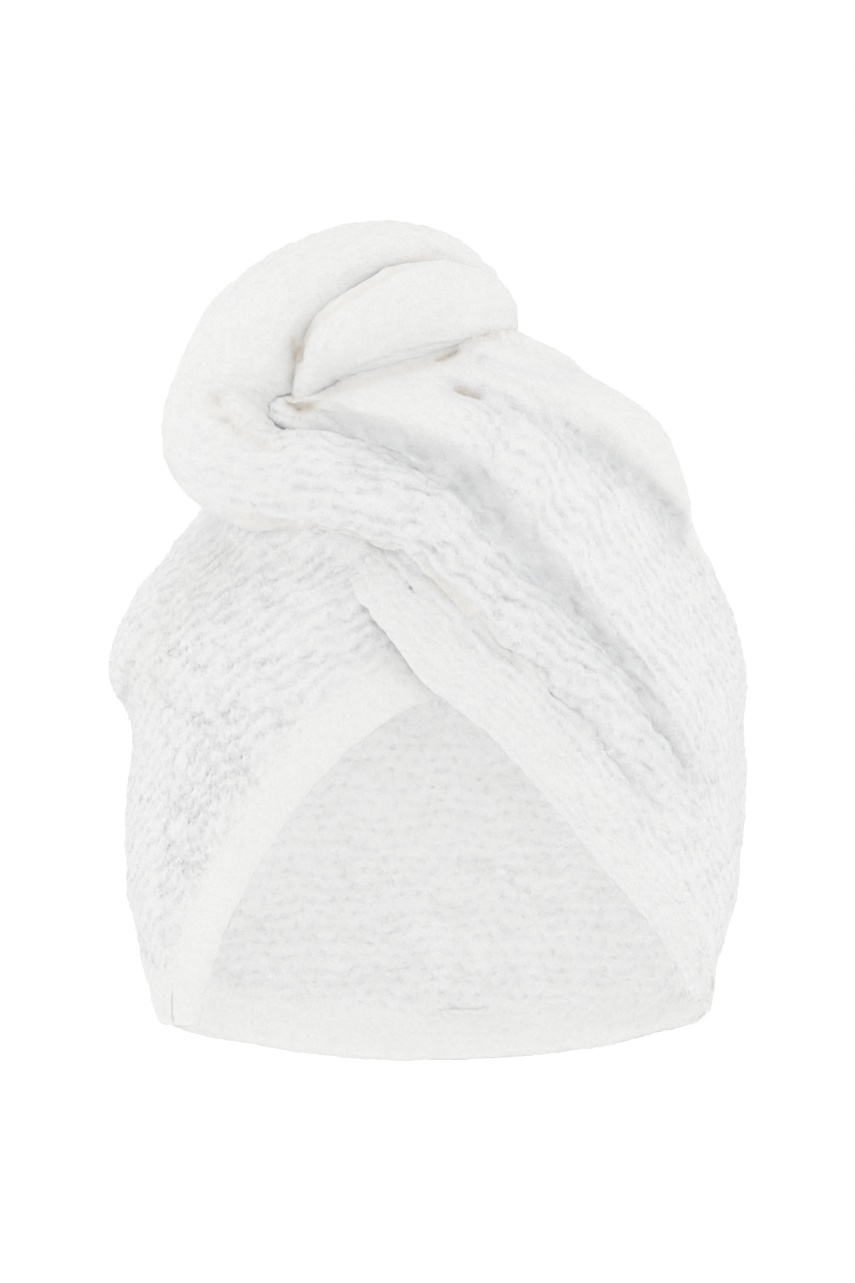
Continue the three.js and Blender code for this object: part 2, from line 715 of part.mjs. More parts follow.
// A roll along a path, swollen by a clearance. lobes gives the radius share round a section.
function roll(path, steps, clearance, lobes = () => 1) {
  const rings = Array.from({ length: steps + 1 }, (_, i) => {
    const t = i / steps;
    const section = sectionAt(path, t);
    const halfAcross = along(path, "across", t);
    const halfProud = along(path, "proud", t);
    return Array.from({ length: ROLL_SIDES }, (_, k) => {
      const turn = (2 * PI * k) / ROLL_SIDES;
      const share = lobes(turn, t);
      return section.centre
        .clone()
        .addScaledVector(section.across, (share * halfAcross + clearance) * cos(turn))
        .addScaledVector(section.proud, (share * halfProud + clearance) * sin(turn));
    });
  });
  return toSolid(tube(rings));
}

// The two twisted strands of the tail, which run flat into its tip
function tailLobes(turn, t) {
  const twist = 2 * PI * TAIL_TWIST_TURNS * t;
  const depth = TAIL_GROOVE * ease(TAIL_IS_FLAT, TAIL_FLATTENS, t);
  return 1 - depth * (1 - abs(cos(turn - twist)));
}

// A solid less everything that it rests on
function bedded(solid, rooms) {
  return largest(rooms.reduce((rest, room) => rest.subtract(room), solid));
}

const outerPath = rollPath(OUTER_ROLL);
const innerPath = rollPath(INNER_ROLL);
const outerRoll = bedded(roll(outerPath, OUTER_ROLL_STEPS, 0), hoodRoom);
const outerRollRoom = roll(outerPath, OUTER_ROLL_STEPS, GAP);
const innerRoll = bedded(roll(innerPath, INNER_ROLL_STEPS, 0), [...hoodRoom, outerRollRoom]);
const innerRollRoom = roll(innerPath, INNER_ROLL_STEPS, GAP);

// The button's place on the tail: where it stands and which way it faces
const tail = tailPath();
const buttonSeat = sectionAt(tail, BUTTON_PLACE);
const buttonFacing = new THREE.Quaternion().setFromUnitVectors(
  new THREE.Vector3(0, 1, 0),
  buttonSeat.proud,
);
const tipHalf = along(tail, "proud", BUTTON_PLACE);

// A round body on the button's axis, from radii and heights above the middle of the tail
function turned(profile) {
  const points = profile.map(([radius, height]) => new THREE.Vector2(radius, height));
  const body = new THREE.LatheGeometry(points, BUTTON_SIDES);
  body.applyQuaternion(buttonFacing);
  body.translate(buttonSeat.centre.x, buttonSeat.centre.y, buttonSeat.centre.z);
  return toSolid(body);
}

function tailSolid() {
  const hole = BUTTON_NECK_RADIUS + GAP;
  const seat = BUTTON_RADIUS + GAP;
  const buttonhole = turned([
    [0, -3 * tipHalf],
    [hole, -3 * tipHalf],
    [hole, tipHalf],
    [seat, tipHalf],
    [seat, 3 * tipHalf],
    [0, 3 * tipHalf],
  ]);
  const rope = roll(tail, TAIL_STEPS, 0, tailLobes);
  return bedded(rope, [...hoodRoom, outerRollRoom, innerRollRoom, buttonhole]);
}

function buttonSolid() {
  const under = tipHalf + GAP;
  const round = BUTTON_THICKNESS / 4;
  const button = turned([
    [0, -3 * tipHalf],
    [BUTTON_NECK_RADIUS, -3 * tipHalf],
    [BUTTON_NECK_RADIUS, under],
    [BUTTON_RADIUS - round, under],
    [BUTTON_RADIUS, under + round],
    [BUTTON_RADIUS, under + BUTTON_THICKNESS - round],
    [BUTTON_RADIUS - 2 * round, under + BUTTON_THICKNESS],
    [0, under + BUTTON_THICKNESS],
  ]);
  return bedded(button, hoodRoom);
}

// Materials

const towelling = () =>
  new THREE.MeshStandardMaterial({ color: "#f1f0ed", roughness: 0.96, metalness: 0 });
const hemTowelling = () =>
  new THREE.MeshStandardMaterial({ color: "#f5f4f1", roughness: 0.94, metalness: 0 });
const buttonPlastic = () =>
  new THREE.MeshStandardMaterial({ color: "#f2f0ea", roughness: 0.35, metalness: 0 });

// The assembly

const turban = new THREE.Group();
function add(name, geometry, material) {
  const mesh = new THREE.Mesh(geometry, material);
  mesh.name = name;
  turban.add(mesh);
}

add("left_panel", panel(leftPanelPlaces, leftShift, 0), towelling());
add("right_panel", panel(rightPanelPlaces, rightShift, 0), towelling());
add("left_front_hem", hem(leftHemPlaces, leftShift, HEM_COLUMNS, 0), hemTowelling());
add("right_front_hem", hem(rightHemPlaces, rightShift, HEM_COLUMNS, 0), hemTowelling());
add("nape_hem", hem(napePlaces, leftShift, NAPE_HEM_COLUMNS, 0), hemTowelling());
add("twist_outer_roll", toGeometry(outerRoll), towelling());
add("twist_inner_roll", toGeometry(innerRoll), towelling());
add("twist_tail", toGeometry(tailSolid()), towelling());
add("nape_button", toGeometry(buttonSolid()), buttonPlastic());

export default turban;
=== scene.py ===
import math

import bpy
import numpy as np
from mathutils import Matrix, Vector


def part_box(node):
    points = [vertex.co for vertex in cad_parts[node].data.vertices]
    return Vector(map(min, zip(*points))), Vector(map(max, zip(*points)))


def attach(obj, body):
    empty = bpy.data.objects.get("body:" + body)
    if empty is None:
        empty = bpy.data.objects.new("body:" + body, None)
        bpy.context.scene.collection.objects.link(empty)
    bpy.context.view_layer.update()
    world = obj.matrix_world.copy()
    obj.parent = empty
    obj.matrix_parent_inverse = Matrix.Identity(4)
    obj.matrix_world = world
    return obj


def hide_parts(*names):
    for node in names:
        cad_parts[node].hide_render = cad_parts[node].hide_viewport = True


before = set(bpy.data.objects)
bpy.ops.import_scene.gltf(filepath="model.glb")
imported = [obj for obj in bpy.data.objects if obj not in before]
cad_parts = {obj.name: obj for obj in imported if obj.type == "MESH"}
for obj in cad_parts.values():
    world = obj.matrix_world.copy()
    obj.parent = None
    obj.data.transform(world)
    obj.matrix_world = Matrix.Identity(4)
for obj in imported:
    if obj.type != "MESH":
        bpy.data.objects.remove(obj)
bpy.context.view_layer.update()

# Lengths below are in millimetres, as in the part, and become metres when a mesh is made.
MM = 1000.0


def corner(node, side, axis):
    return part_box(node)[side][axis] * MM


# How much deeper the hood's front is than its left panel, which is tucked under there
FRONT_OVER_PANEL = 1.025
# Sizes of the hood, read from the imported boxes
BACK_DEPTH = corner("left_panel", 1, 1)
FRONT_DEPTH = -corner("left_panel", 0, 1) * FRONT_OVER_PANEL
HALF_WIDTH = corner("right_panel", 1, 0)
NAPE_DROP = -corner("nape_hem", 0, 2)
CROWN_RISE = corner("left_panel", 1, 2)
# Sizes of the cloth, its hems, the knot above the crown and the wound strands
CLOTH = 3.2
FRONT_HEM = 14.0
NAPE_HEM = 13.0
HEM_THICK = 4.2
RIGHT_HEM_THICK = 3.8
KNOT_RISE = 52.0
ROLL_RADIUS = 20.0
TAIL_RADIUS = 22.0
# How the weave of each side is turned on the outside, and how far the lap's end leans, in degrees
LEFT_TURN = 28
RIGHT_TURN = -46
LAP_LEAN = 42
# How far the right panel stands off the left one where it laps over
LAP_RISE = 3.9
# How far the hems run on under the panels, and the panels under the hems
HEM_TUCK = 4.5
PANEL_TUCK = 3.0
# The gap between the nape's hem and the front hems
HEM_GAP = 0.4
# The power of the superellipses round the hood
SQUARENESS = 2.25
HEAD_MIDDLE = np.array([0.0, 0.0, -0.4 * NAPE_DROP])

# The camera, level with the middle of the photo's frame, and a pixel's size at y = 0
CAMERA_BACK = 2200.0
CAMERA_HEIGHT = -83.3
PIXEL = 0.33
SENSOR_HEIGHT = 36.0
PHOTO_WIDE, PHOTO_HIGH = 855, 1283

# The hood's levels: height, then how far it reaches left, right, front and back, all as shares
HOOD_LEVELS = np.array([
    [-1.0, 0.77, 0.82, 0.8, 0.8],
    [-0.915, 0.84, 0.885, 0.86, 0.845],
    [-0.815, 0.91, 0.93, 0.92, 0.905],
    [-0.725, 0.945, 0.98, 0.96, 0.955],
    [-0.615, 0.95, 0.995, 0.985, 0.985],
    [-0.49, 0.94, 0.995, 1.0, 1.0],
    [-0.4, 1.0, 1.0, 1.0, 0.99],
    [-0.305, 0.93, 0.935, 0.995, 0.935],
    [-0.22, 0.78, 0.855, 0.985, 0.84],
    [-0.135, 0.62, 0.8, 0.965, 0.68],
    [-0.055, 0.49, 0.72, 0.93, 0.38],
    [0.16, 0.38, 0.49, 0.87, 0.03],
    [0.72, 0.16, 0.3, 0.76, -0.16],
    [1.0, -0.06, 0.2, 0.58, -0.28],
])
# The nape's rim: angle round the hood in degrees, drop as a share of NAPE_DROP
NAPE_RIM = np.array([
    [222, 0.908], [205, 0.912], [180, 0.922], [150, 0.952], [120, 0.984], [90, 1.0],
    [61, 0.983], [32, 0.95], [5, 0.916], [-18, 0.885], [-38, 0.86],
])
# The front edges of the two panels, from the nape up: angle, drop
LEFT_FRONT = np.array([
    [203, 0.985], [212.5, 0.912], [225, 0.815], [234.5, 0.727], [242, 0.642],
    [250, 0.563], [260, 0.495], [270.5, 0.442], [279, 0.408],
])
RIGHT_FRONT = np.array([
    [-9, 0.935], [-24, 0.877], [-40, 0.8], [-55, 0.72], [-68, 0.62], [-80, 0.515],
    [-89, 0.438], [-96, 0.351], [-105, 0.278], [-112, 0.21],
])
# The folds pressed into the panels: lip above, dip and reach in mm, and a line of (x, height) shares
RIGHT_FOLDS = [
    (8, 0.5, 24, [(-0.34, -0.05), (-0.2, -0.085), (0.02, -0.115), (0.14, -0.15), (0.21, -0.2),
                  (0.38, -0.3), (0.56, -0.4), (0.73, -0.53), (0.87, -0.65)]),
    (5, 1.2, 20, [(0.02, 0.3), (0.14, -0.005), (0.34, -0.045), (0.53, -0.095), (0.66, -0.14),
                  (0.77, -0.195), (0.84, -0.25)]),
    (3, 1.4, 15, [(0.1, 0.55), (0.28, 0.4), (0.42, 0.22), (0.52, 0.1)]),
]
LEFT_FOLDS = [
    (1.8, 0.8, 18, [(-0.95, -0.5), (-0.87, -0.37), (-0.78, -0.28), (-0.62, -0.2)]),
]
# The rolls' middle lines and half sizes: x, y, z, across, proud, as shares of the sizes above
OUTER_ROLL = np.array([
    [0.845, -0.51, -0.66, 0.2, 0.1], [0.73, -0.71, -0.574, 0.46, 0.25],
    [0.526, -0.87, -0.447, 0.57, 0.36], [0.341, -0.955, -0.363, 0.6, 0.42],
    [0.159, -0.995, -0.274, 0.64, 0.46], [0.038, -1.0, -0.204, 0.7, 0.5],
    [-0.129, -0.98, -0.166, 0.75, 0.56], [-0.295, -0.93, -0.145, 0.79, 0.68],
    [-0.49, -0.84, -0.138, 0.84, 0.9], [-0.605, -0.73, -0.088, 1.05, 1.1],
    [-0.58, -0.66, -0.022, 1.02, 1.08], [-0.522, -0.64, 0.235, 1.0, 0.94],
    [-0.404, -0.615, 0.487, 1.0, 0.82], [-0.235, -0.57, 0.68, 0.92, 0.72],
    [-0.085, -0.5, 0.715, 0.82, 0.68], [0.03, -0.36, 0.6, 0.7, 0.6],
    [0.06, -0.2, 0.44, 0.5, 0.45], [0.04, -0.07, 0.36, 0.25, 0.25],
])
INNER_ROLL = np.array([
    [-0.383, -0.855, -0.037, 0.14, 0.16], [-0.362, -0.85, -0.012, 0.28, 0.34],
    [-0.319, -0.84, 0.09, 0.5, 0.52], [-0.25, -0.845, 0.219, 0.66, 0.64],
    [-0.175, -0.85, 0.29, 0.72, 0.72], [-0.053, -0.83, 0.385, 0.82, 0.82],
    [0.056, -0.75, 0.405, 0.84, 0.82], [0.125, -0.6, 0.385, 0.8, 0.77],
    [0.13, -0.42, 0.36, 0.66, 0.64], [0.1, -0.27, 0.3, 0.4, 0.4],
])
# The tail over the crown and down the back: pitch in degrees from straight up, aside, across, proud
TAIL = np.array([
    [-27, 0.04, 0.7, 0.5], [-12, 0.04, 1.0, 0.78], [4, 0.01, 1.2, 0.9],
    [20, -0.01, 1.25, 0.92], [38, -0.015, 1.2, 0.86], [56, -0.01, 1.08, 0.78],
    [73, 0.0, 0.95, 0.68], [89, 0.01, 0.82, 0.56], [104, 0.01, 0.73, 0.45],
    [119, 0.0, 0.65, 0.32], [132, 0.0, 0.6, 0.18], [142, 0.0, 0.5, 0.14],
])
# How far the tail's middle stands off the hood, its turns, its groove and the button's place on it
TAIL_BEDDING = 0.72
TAIL_TURNS = 1.8
TAIL_GROOVE = 0.3
BUTTON_PLACE = 0.93
# The button: its neck's radius and depth in the tail's half thickness, and its gap to the tail
NECK_RADIUS = 3.4
NECK_DEPTH = 0.8
BUTTON_GAP = 0.4
POINT_RADIUS = 0.001
# Outline of its disc, from the neck round the rim to the hollow middle: radius, height
BUTTON_DISC = [
    (NECK_RADIUS, 0.0), (9.6, 0.0), (10.6, 0.6), (11.0, 1.6), (11.0, 2.6), (10.6, 3.5), (9.7, 4.0),
    (8.6, 3.9), (7.8, 3.3), (6.6, 2.9), (NECK_RADIUS, 2.7), (POINT_RADIUS, 2.7),
]

# A stroke of more points than this fades out at its ends
LONG_STROKE = 4
# Sculpting strokes along the creases and valleys. Their lines are in the photo's pixels. A row has
# a name, the pieces, the depth in mm, the reach in pixels on the left of the line's direction and on
# its right, the strength of the warm painted shade in creases and pits and of the cool painted
# shade in valleys, and the line.
VALLEY_D = [(330, 431), (370, 447), (430, 468), (475, 492), (500, 530), (530, 568), (560, 600),
            (590, 632), (620, 665), (645, 700), (670, 740), (695, 780), (715, 815)]
VALLEY_E = [(430, 376), (475, 388), (540, 415), (600, 450), (640, 480), (680, 520), (697, 560)]
STROKES = [
    ("valley_d", ("right_panel", "twist_outer_roll"), 1.0, 20, 20, 0.0, 1.0, VALLEY_D),
    ("valley_e", ("right_panel",), 2.4, 6, 15, 0.0, 0.9, VALLEY_E),
    ("valley_f", ("right_panel",), 1.4, 6, 9, 0.0, 0.5,
     [(470, 355), (490, 359), (510, 363), (545, 372), (590, 378)]),
    ("pit_e", ("right_panel",), 2.0, 3, 3, 1.0, 0.0, [(460, 384), (470, 388), (480, 391)]),
    ("pit_b", ("right_panel",), 1.3, 3, 3, 0.9, 0.0, [(438, 358), (446, 354), (454, 350)]),
    ("line_s", ("twist_outer_roll", "right_front_hem"), 0.3, 5, 5, 0.32, 0.0,
     [(207, 517), (243, 520), (290, 527), (333, 533), (365, 538), (397, 556), (427, 573),
      (460, 603), (493, 640), (515, 660), (533, 677), (560, 705)]),
    ("line_a", ("twist_outer_roll", "twist_inner_roll"), 0.6, 4, 4, 0.4, 0.0,
     [(450, 250), (433, 256), (415, 260), (392, 270), (370, 283), (350, 297), (330, 312),
      (318, 322), (305, 335), (297, 350), (292, 365), (288, 385), (283, 398)]),
    ("pit", ("twist_outer_roll", "right_panel"), 3.0, 7, 7, 1.0, 0.0,
     [(292, 402), (300, 408), (310, 405)]),
    ("pit_tip", ("twist_inner_roll",), 0.3, 7, 7, 1.0, 0.0,
     [(292, 402), (300, 408), (310, 405)]),
    ("hole", ("twist_outer_roll", "twist_inner_roll"), 1.0, 4.5, 4.5, 1.0, 0.0,
     [(296, 342), (297, 350), (298, 358)]),
    ("line_b", ("right_panel", "twist_inner_roll"), 0.5, 5, 5, 0.3, 0.0,
     [(300, 408), (340, 388), (400, 370), (440, 357), (460, 347), (490, 335), (522, 330)]),
    ("dimple", ("twist_outer_roll",), 2.2, 9, 9, 0.22, 0.0,
     [(214, 400), (226, 420), (241, 428), (264, 440)]),
    ("hook", ("twist_outer_roll",), 1.0, 7, 7, 0.12, 0.0,
     [(213, 400), (236, 390), (254, 402)]),
    ("left_pleat", ("left_panel",), 1.3, 20, 24, 0.05, 0.25,
     [(240, 528), (205, 565), (180, 600), (160, 635), (145, 675), (134, 720)]),
    ("left_pleat_inner", ("left_panel",), 1.0, 14, 14, 0.0, 0.1,
     [(275, 548), (235, 585), (205, 625), (180, 670), (165, 715)]),
]


def ease(a, b, x):
    """A smooth step from 0 at a to 1 at b."""
    t = np.clip((np.asarray(x, float) - a) / (b - a), 0, 1)
    return t * t * (3 - 2 * t)


def along(rows, t):
    """The rows' values at a share t of the way, on a smooth curve through them."""
    v = np.asarray(rows, float)
    n = len(v) - 1
    place = np.clip(t, 0, 0.999999) * n
    i = np.floor(place).astype(int)
    f = place - i
    if v.ndim > 1:
        f = f[..., None]
    a, b, c, d = (v[np.clip(i + k, 0, n)] for k in (-1, 0, 1, 2))
    return b + 0.5 * f * (c - a + f * (2 * a - 5 * b + 4 * c - d + f * (3 * (b - c) + d - a)))


def hood_height(share):
    share = np.asarray(share, float)
    return share * np.where(share < 0, NAPE_DROP, CROWN_RISE)


LEVELS = np.column_stack([
    hood_height(HOOD_LEVELS[:, 0]),
    -HOOD_LEVELS[:, 1] * HALF_WIDTH,
    HOOD_LEVELS[:, 2] * HALF_WIDTH,
    -HOOD_LEVELS[:, 3] * FRONT_DEPTH,
    HOOD_LEVELS[:, 4] * BACK_DEPTH,
])
DENSE = np.linspace(0, 1, 4001)
DENSE_Z = along(LEVELS[:, 0], DENSE)


def level_of(z):
    return np.interp(z, DENSE_Z, DENSE)


def level_at(t):
    """Height, middle and half sizes of the hood's level t."""
    rows = along(LEVELS, np.asarray(t, float))
    z, left, right, front, back = (rows[..., k] for k in range(5))
    return z, (left + right) / 2, (front + back) / 2, (right - left) / 2, (back - front) / 2


def hood_base(angle, t):
    """The point on the hood's plain surface at an angle in degrees and a level."""
    z, x, y, half_x, half_y = level_at(t)
    c, s = np.cos(np.radians(angle)), np.sin(np.radians(angle))
    power = 2 / SQUARENESS
    return np.stack([
        x + half_x * np.sign(c) * np.abs(c) ** power,
        y + half_y * np.sign(s) * np.abs(s) ** power,
        z + 0 * c,
    ], -1)


def unit(v):
    return v / np.maximum(np.linalg.norm(v, axis=-1, keepdims=True), 1e-9)


def hood_normal(angle, t):
    round_ = hood_base(angle + 1, t) - hood_base(angle - 1, t)
    up = hood_base(angle, np.minimum(1, t + 0.004)) - hood_base(angle, np.maximum(0, t - 0.004))
    return unit(np.cross(round_, up))


def place_of(point, near):
    """The angle and level of a point by the hood, the angle within half a turn of another."""
    t = level_of(point[..., 2])
    _, x, y, half_x, half_y = level_at(t)
    u = (point[..., 0] - x) / half_x
    v = (point[..., 1] - y) / half_y
    c = np.sign(u) * np.abs(u) ** (SQUARENESS / 2)
    s = np.sign(v) * np.abs(v) ** (SQUARENESS / 2)
    angle = np.degrees(np.arctan2(s, c))
    return angle + 360 * np.round((near - angle) / 360), t


def front_point(x, z):
    """The point on the hood's front at a width and a height."""
    _, cx, cy, half_x, half_y = level_at(level_of(z))
    u = np.minimum(1, np.abs(x - cx) / half_x)
    return np.array([x, cy - half_y * (1 - u ** SQUARENESS) ** (1 / SQUARENESS), z])


def fold_lines(folds):
    return [
        (lip, dip, reach,
         np.array([front_point(x * HALF_WIDTH, float(hood_height(h))) for x, h in line]))
        for lip, dip, reach, line in folds
    ]


def by_line(points, line):
    """For points by a line: their distance, the way from it, its own way and the share along it."""
    nearest = np.full(points.shape[:-1], np.inf)
    run = np.zeros(points.shape[:-1])
    away, way = np.zeros(points.shape), np.zeros(points.shape)
    for i in range(len(line) - 1):
        start, step = line[i], line[i + 1] - line[i]
        f = np.clip(((points - start) @ step) / (step @ step), 0, 1)
        off = points - start - f[..., None] * step
        size = np.linalg.norm(off, axis=-1)
        closer = size < nearest
        nearest = np.where(closer, size, nearest)
        run = np.where(closer, (i + f) / (len(line) - 1), run)
        away = np.where(closer[..., None], off, away)
        way = np.where(closer[..., None], step, way)
    return nearest, away, way, run


def fold_shift(fold, point, normal):
    """How far a fold moves the cloth: a proud lip above its line and a dip along it."""
    lip, dip, reach, line = fold
    nearest, away, way, run = by_line(point, line)
    above = np.sum(np.cross(way, away) * normal, -1) > 0
    strength = ease(0, 0.12, run) * ease(1, 0.8, run)
    near = nearest / reach
    proud = lip * np.exp(-near * near) * ease(0, 0.3, near)
    sunk = dip * np.exp(-4 * near * near)
    return strength * (np.where(above, proud, 0) - sunk)


left_lines, right_lines = fold_lines(LEFT_FOLDS), fold_lines(RIGHT_FOLDS)


def left_shift(angle, point, normal):
    shift = -1.0 * ease(250, 266, angle)
    return shift + sum(fold_shift(fold, point, normal) for fold in left_lines)


# Where the right panel swells to close the knot's pit: point, rise, reach
KNOT_FILLS = [(front_point(-31.0, -12.0), 6.0, 13.0), (front_point(-42.0, -13.0), 8.5, 10.0)]
# Its swelling beside the pit: middle and half sizes in the photo's pixels, and the y it swells to
KNOT_SWELL = ((316, 421), (34, 29), -98.0)
# How deep the lap's upper end sinks into the left panel
LAP_END_SINK = 6.5


def right_shift(angle, point, normal):
    lap = LAP_RISE * ease(-55, -80, angle)
    lap = lap - LAP_END_SINK * ease(-93, -108, angle) * ease(-40, -48, point[..., 2])
    fill = sum(
        rise * np.exp(-((point - at) ** 2).sum(-1) / reach ** 2) for at, rise, reach in KNOT_FILLS
    )
    return lap + fill + sum(fold_shift(fold, point, normal) for fold in right_lines)


def front_place(edge, q, width):
    """The angle and level a width inward of a front edge, at a share q along it."""
    def at(share):
        rows = along(edge, np.asarray(share, float))
        return rows[..., 0], level_of(-rows[..., 1] * NAPE_DROP)

    angle, t = at(q)
    ahead, behind = at(np.minimum(1, q + 0.01)), at(np.maximum(0, q - 0.01))
    tangent = hood_base(*ahead) - hood_base(*behind)
    inward = unit(np.cross(hood_normal(angle, t), tangent))
    inward = np.where(inward[..., 2:] < 0, -inward, inward)
    moved = hood_base(angle, t) + inward * width
    a, b = place_of(moved, angle)
    return np.where(width == 0, angle, a), np.where(width == 0, t, b)


RIM = along(NAPE_RIM, DENSE)


def rim_height(angle):
    return -NAPE_DROP * np.interp(-np.asarray(angle, float), -RIM[:, 0], RIM[:, 1])


def front_start(edge, width, rise):
    """The share along a front edge where it comes out a rise above the nape's rim."""
    q = np.linspace(0, 0.6, 1201)
    angle, t = front_place(edge, q, width)
    over = level_at(t)[0] - rim_height(angle) - rise
    i = int(np.argmax(over > 0))
    if i == 0:
        return 0.0
    return q[i - 1] + (q[i] - q[i - 1]) * (-over[i - 1]) / (over[i] - over[i - 1])


def hem_places(edge):
    """Where a front hem lies: along its edge with u and inward with v."""
    lines = []
    for width in (0.0, FRONT_HEM + HEM_TUCK):
        start = front_start(edge, width, 0)
        lines.append((start, width))

    def places(u, v):
        (s0, w0), (s1, w1) = lines
        a0, t0 = front_place(edge, s0 + (1 - s0) * u, w0)
        a1, t1 = front_place(edge, s1 + (1 - s1) * u, w1)
        return a0 + (a1 - a0) * v, t0 + (t1 - t0) * v

    return places


def nape_places(u, v):
    """Where the nape's hem lies: from the left front hem to the right one with u, and up with v."""
    width = FRONT_HEM + HEM_GAP
    rise = (NAPE_HEM + HEM_TUCK) * v
    heights = np.linspace(0, NAPE_HEM + HEM_TUCK, 9)

    def ends(edge):
        found = [front_place(edge, front_start(edge, width, h), width)[0] for h in heights]
        return np.interp(rise, heights, np.array(found, float))

    left, right = ends(LEFT_FRONT), ends(RIGHT_FRONT)
    angle = left + (right - left) * u
    return angle, level_of(rim_height(angle) + rise)


# The share of a panel's lower edge that lies along the nape, and the seam's angle at the back
NAPE_SHARE = 0.5
BACK = 90
# How far the left panel runs past the back seam, in degrees
SEAM_TUCK = 1.5


def panel_places(edge, lean):
    """Where a panel lies: from the back seam along the nape and the front edge with u, and up to
    the crown with v. Its lower edge is hidden under the hems. lean is how far the lap's end turns."""
    width = FRONT_HEM - PANEL_TUCK
    rise = NAPE_HEM - PANEL_TUCK
    start = front_start(edge, width, rise)
    corner_angle = float(front_place(edge, start, width)[0])
    side = np.sign(corner_angle - BACK)

    def places(u, v):
        q = np.clip((u - NAPE_SHARE) / (1 - NAPE_SHARE), 0, 1)
        front_angle, front_t = front_place(edge, start + (1 - start) * q, width)
        back = BACK - (SEAM_TUCK if side > 0 else 0)
        nape_angle = back + (corner_angle - back) * np.clip(u / NAPE_SHARE, 0, 1)
        nape_t = level_of(rim_height(nape_angle) + rise)
        angle = np.where(u > NAPE_SHARE, front_angle, nape_angle)
        low = np.where(u > NAPE_SHARE, front_t, nape_t)
        t = low + (1 - low) * v
        leant = lean * ease(0.75, 1, u) * ease(0, 0.4, v)
        return angle + side * leant, t

    return places


def rumple(points, wavelength, seed, waves=18):
    """Smooth noise of unit size, of about one wavelength, the same at each run."""
    rng = np.random.default_rng(seed)
    total = np.zeros(points.shape[:-1])
    for _ in range(waves):
        way = unit(rng.normal(size=points.shape[-1]))
        k = 2 * math.pi / (wavelength * rng.uniform(0.75, 1.35))
        total = total + np.sin(points @ (way * k) + rng.uniform(0, 2 * math.pi))
    return total * math.sqrt(2 / waves)


# The seeds of the weave's unevenness outside and inside, and how deep it lies on the inside
OUTSIDE_SEED, INSIDE_SEED = 3, 43
INSIDE_SINK = 0.35
# The weave: a cell's length and width, the height of its puffs, and the share that stays below
ALONG, OVER = 6.2, 4.9
PUFF = 1.35
PUFF_LEVEL = 0.6


def weave(s, d, seed):
    """The weave's own coordinates, whose whole numbers are its pits, in staggered rows."""
    flat = np.stack([s, d], -1)
    s = s + 0.8 * rumple(flat, 27, seed) + 0.55 * rumple(flat, 11, seed + 1)
    d = d + 0.8 * rumple(flat, 25, seed + 2) + 0.5 * rumple(flat, 10, seed + 3)
    return s / ALONG + d / (2 * OVER), s / ALONG - d / (2 * OVER)


def waffle(x, y):
    """The height of the soft puffs between the rows' grooves and pits, from about 0 to 1."""
    pit = 0.5 + 0.25 * (np.cos(2 * math.pi * x) + np.cos(2 * math.pi * y))
    groove = 0.5 + 0.5 * np.cos(2 * math.pi * (x - y))
    return 1 - 0.5 * pit ** 1.2 - 0.4 * groove ** 2


def pile(points):
    """The finest unevenness of the cloth's loops."""
    return 0.10 * rumple(points, 4.2, 17) + 0.07 * rumple(points, 2.6, 18)


def grid_normals(points, towards, closed=False):
    """Unit normals of a grid of points, on the side that a rough direction gives."""
    if closed:
        wide = np.concatenate([points[:, -1:], points, points[:, :1]], 1)
        across = np.gradient(wide, axis=1)[:, 1:-1]
    else:
        across = np.gradient(points, axis=1)
    n = np.cross(np.gradient(points, axis=0), across)
    size = np.linalg.norm(n, axis=-1, keepdims=True)
    n = np.where(size > 1e-7, n / np.maximum(size, 1e-9), towards)
    side = np.sign(np.sum(n * towards, -1, keepdims=True))
    return n * np.where(side == 0, 1, side)


def outward(points, faces):
    """The faces, turned so that they look outward."""
    a, b, c, d = (points[faces[:, k]] for k in range(4))
    volume = np.einsum("ij,ij->i", a, np.cross(b, c)).sum()
    volume += np.einsum("ij,ij->i", a, np.cross(c, d)).sum()
    return faces if volume > 0 else faces[:, ::-1]


def sheet_faces(n, m):
    """Quads of a closed sheet whose two faces are grids of n by m points."""
    grid = np.arange(n * m).reshape(n, m)
    under = grid + n * m

    def quads(g):
        return np.stack([g[:-1, :-1], g[1:, :-1], g[1:, 1:], g[:-1, 1:]], -1).reshape(-1, 4)

    ring = np.concatenate([grid[:, 0], grid[-1, 1:], grid[-2::-1, -1], grid[0, -2:0:-1]])
    low = np.concatenate([under[:, 0], under[-1, 1:], under[-2::-1, -1], under[0, -2:0:-1]])
    rim = np.stack([ring, low, np.roll(low, -1), np.roll(ring, -1)], -1)
    return np.concatenate([quads(grid), quads(under)[:, ::-1], rim]), len(rim)


def tube_faces(n, m):
    """Quads of a tube of n rings of m points."""
    grid = np.arange(n * m).reshape(n, m)
    beside = np.roll(grid, -1, 1)
    return np.stack([grid[:-1], beside[:-1], beside[1:], grid[1:]], -1).reshape(-1, 4)


def tube_ends(n, m):
    return [list(range(m))[::-1], list(range((n - 1) * m, n * m))]


def pixels(points):
    """Where points are seen in the photo."""
    k = CAMERA_BACK / (CAMERA_BACK + points[..., 1]) / PIXEL
    px = PHOTO_WIDE / 2 + points[..., 0] * k
    py = PHOTO_HIGH / 2 - (points[..., 2] - CAMERA_HEIGHT) * k
    return np.stack([px, py], -1)


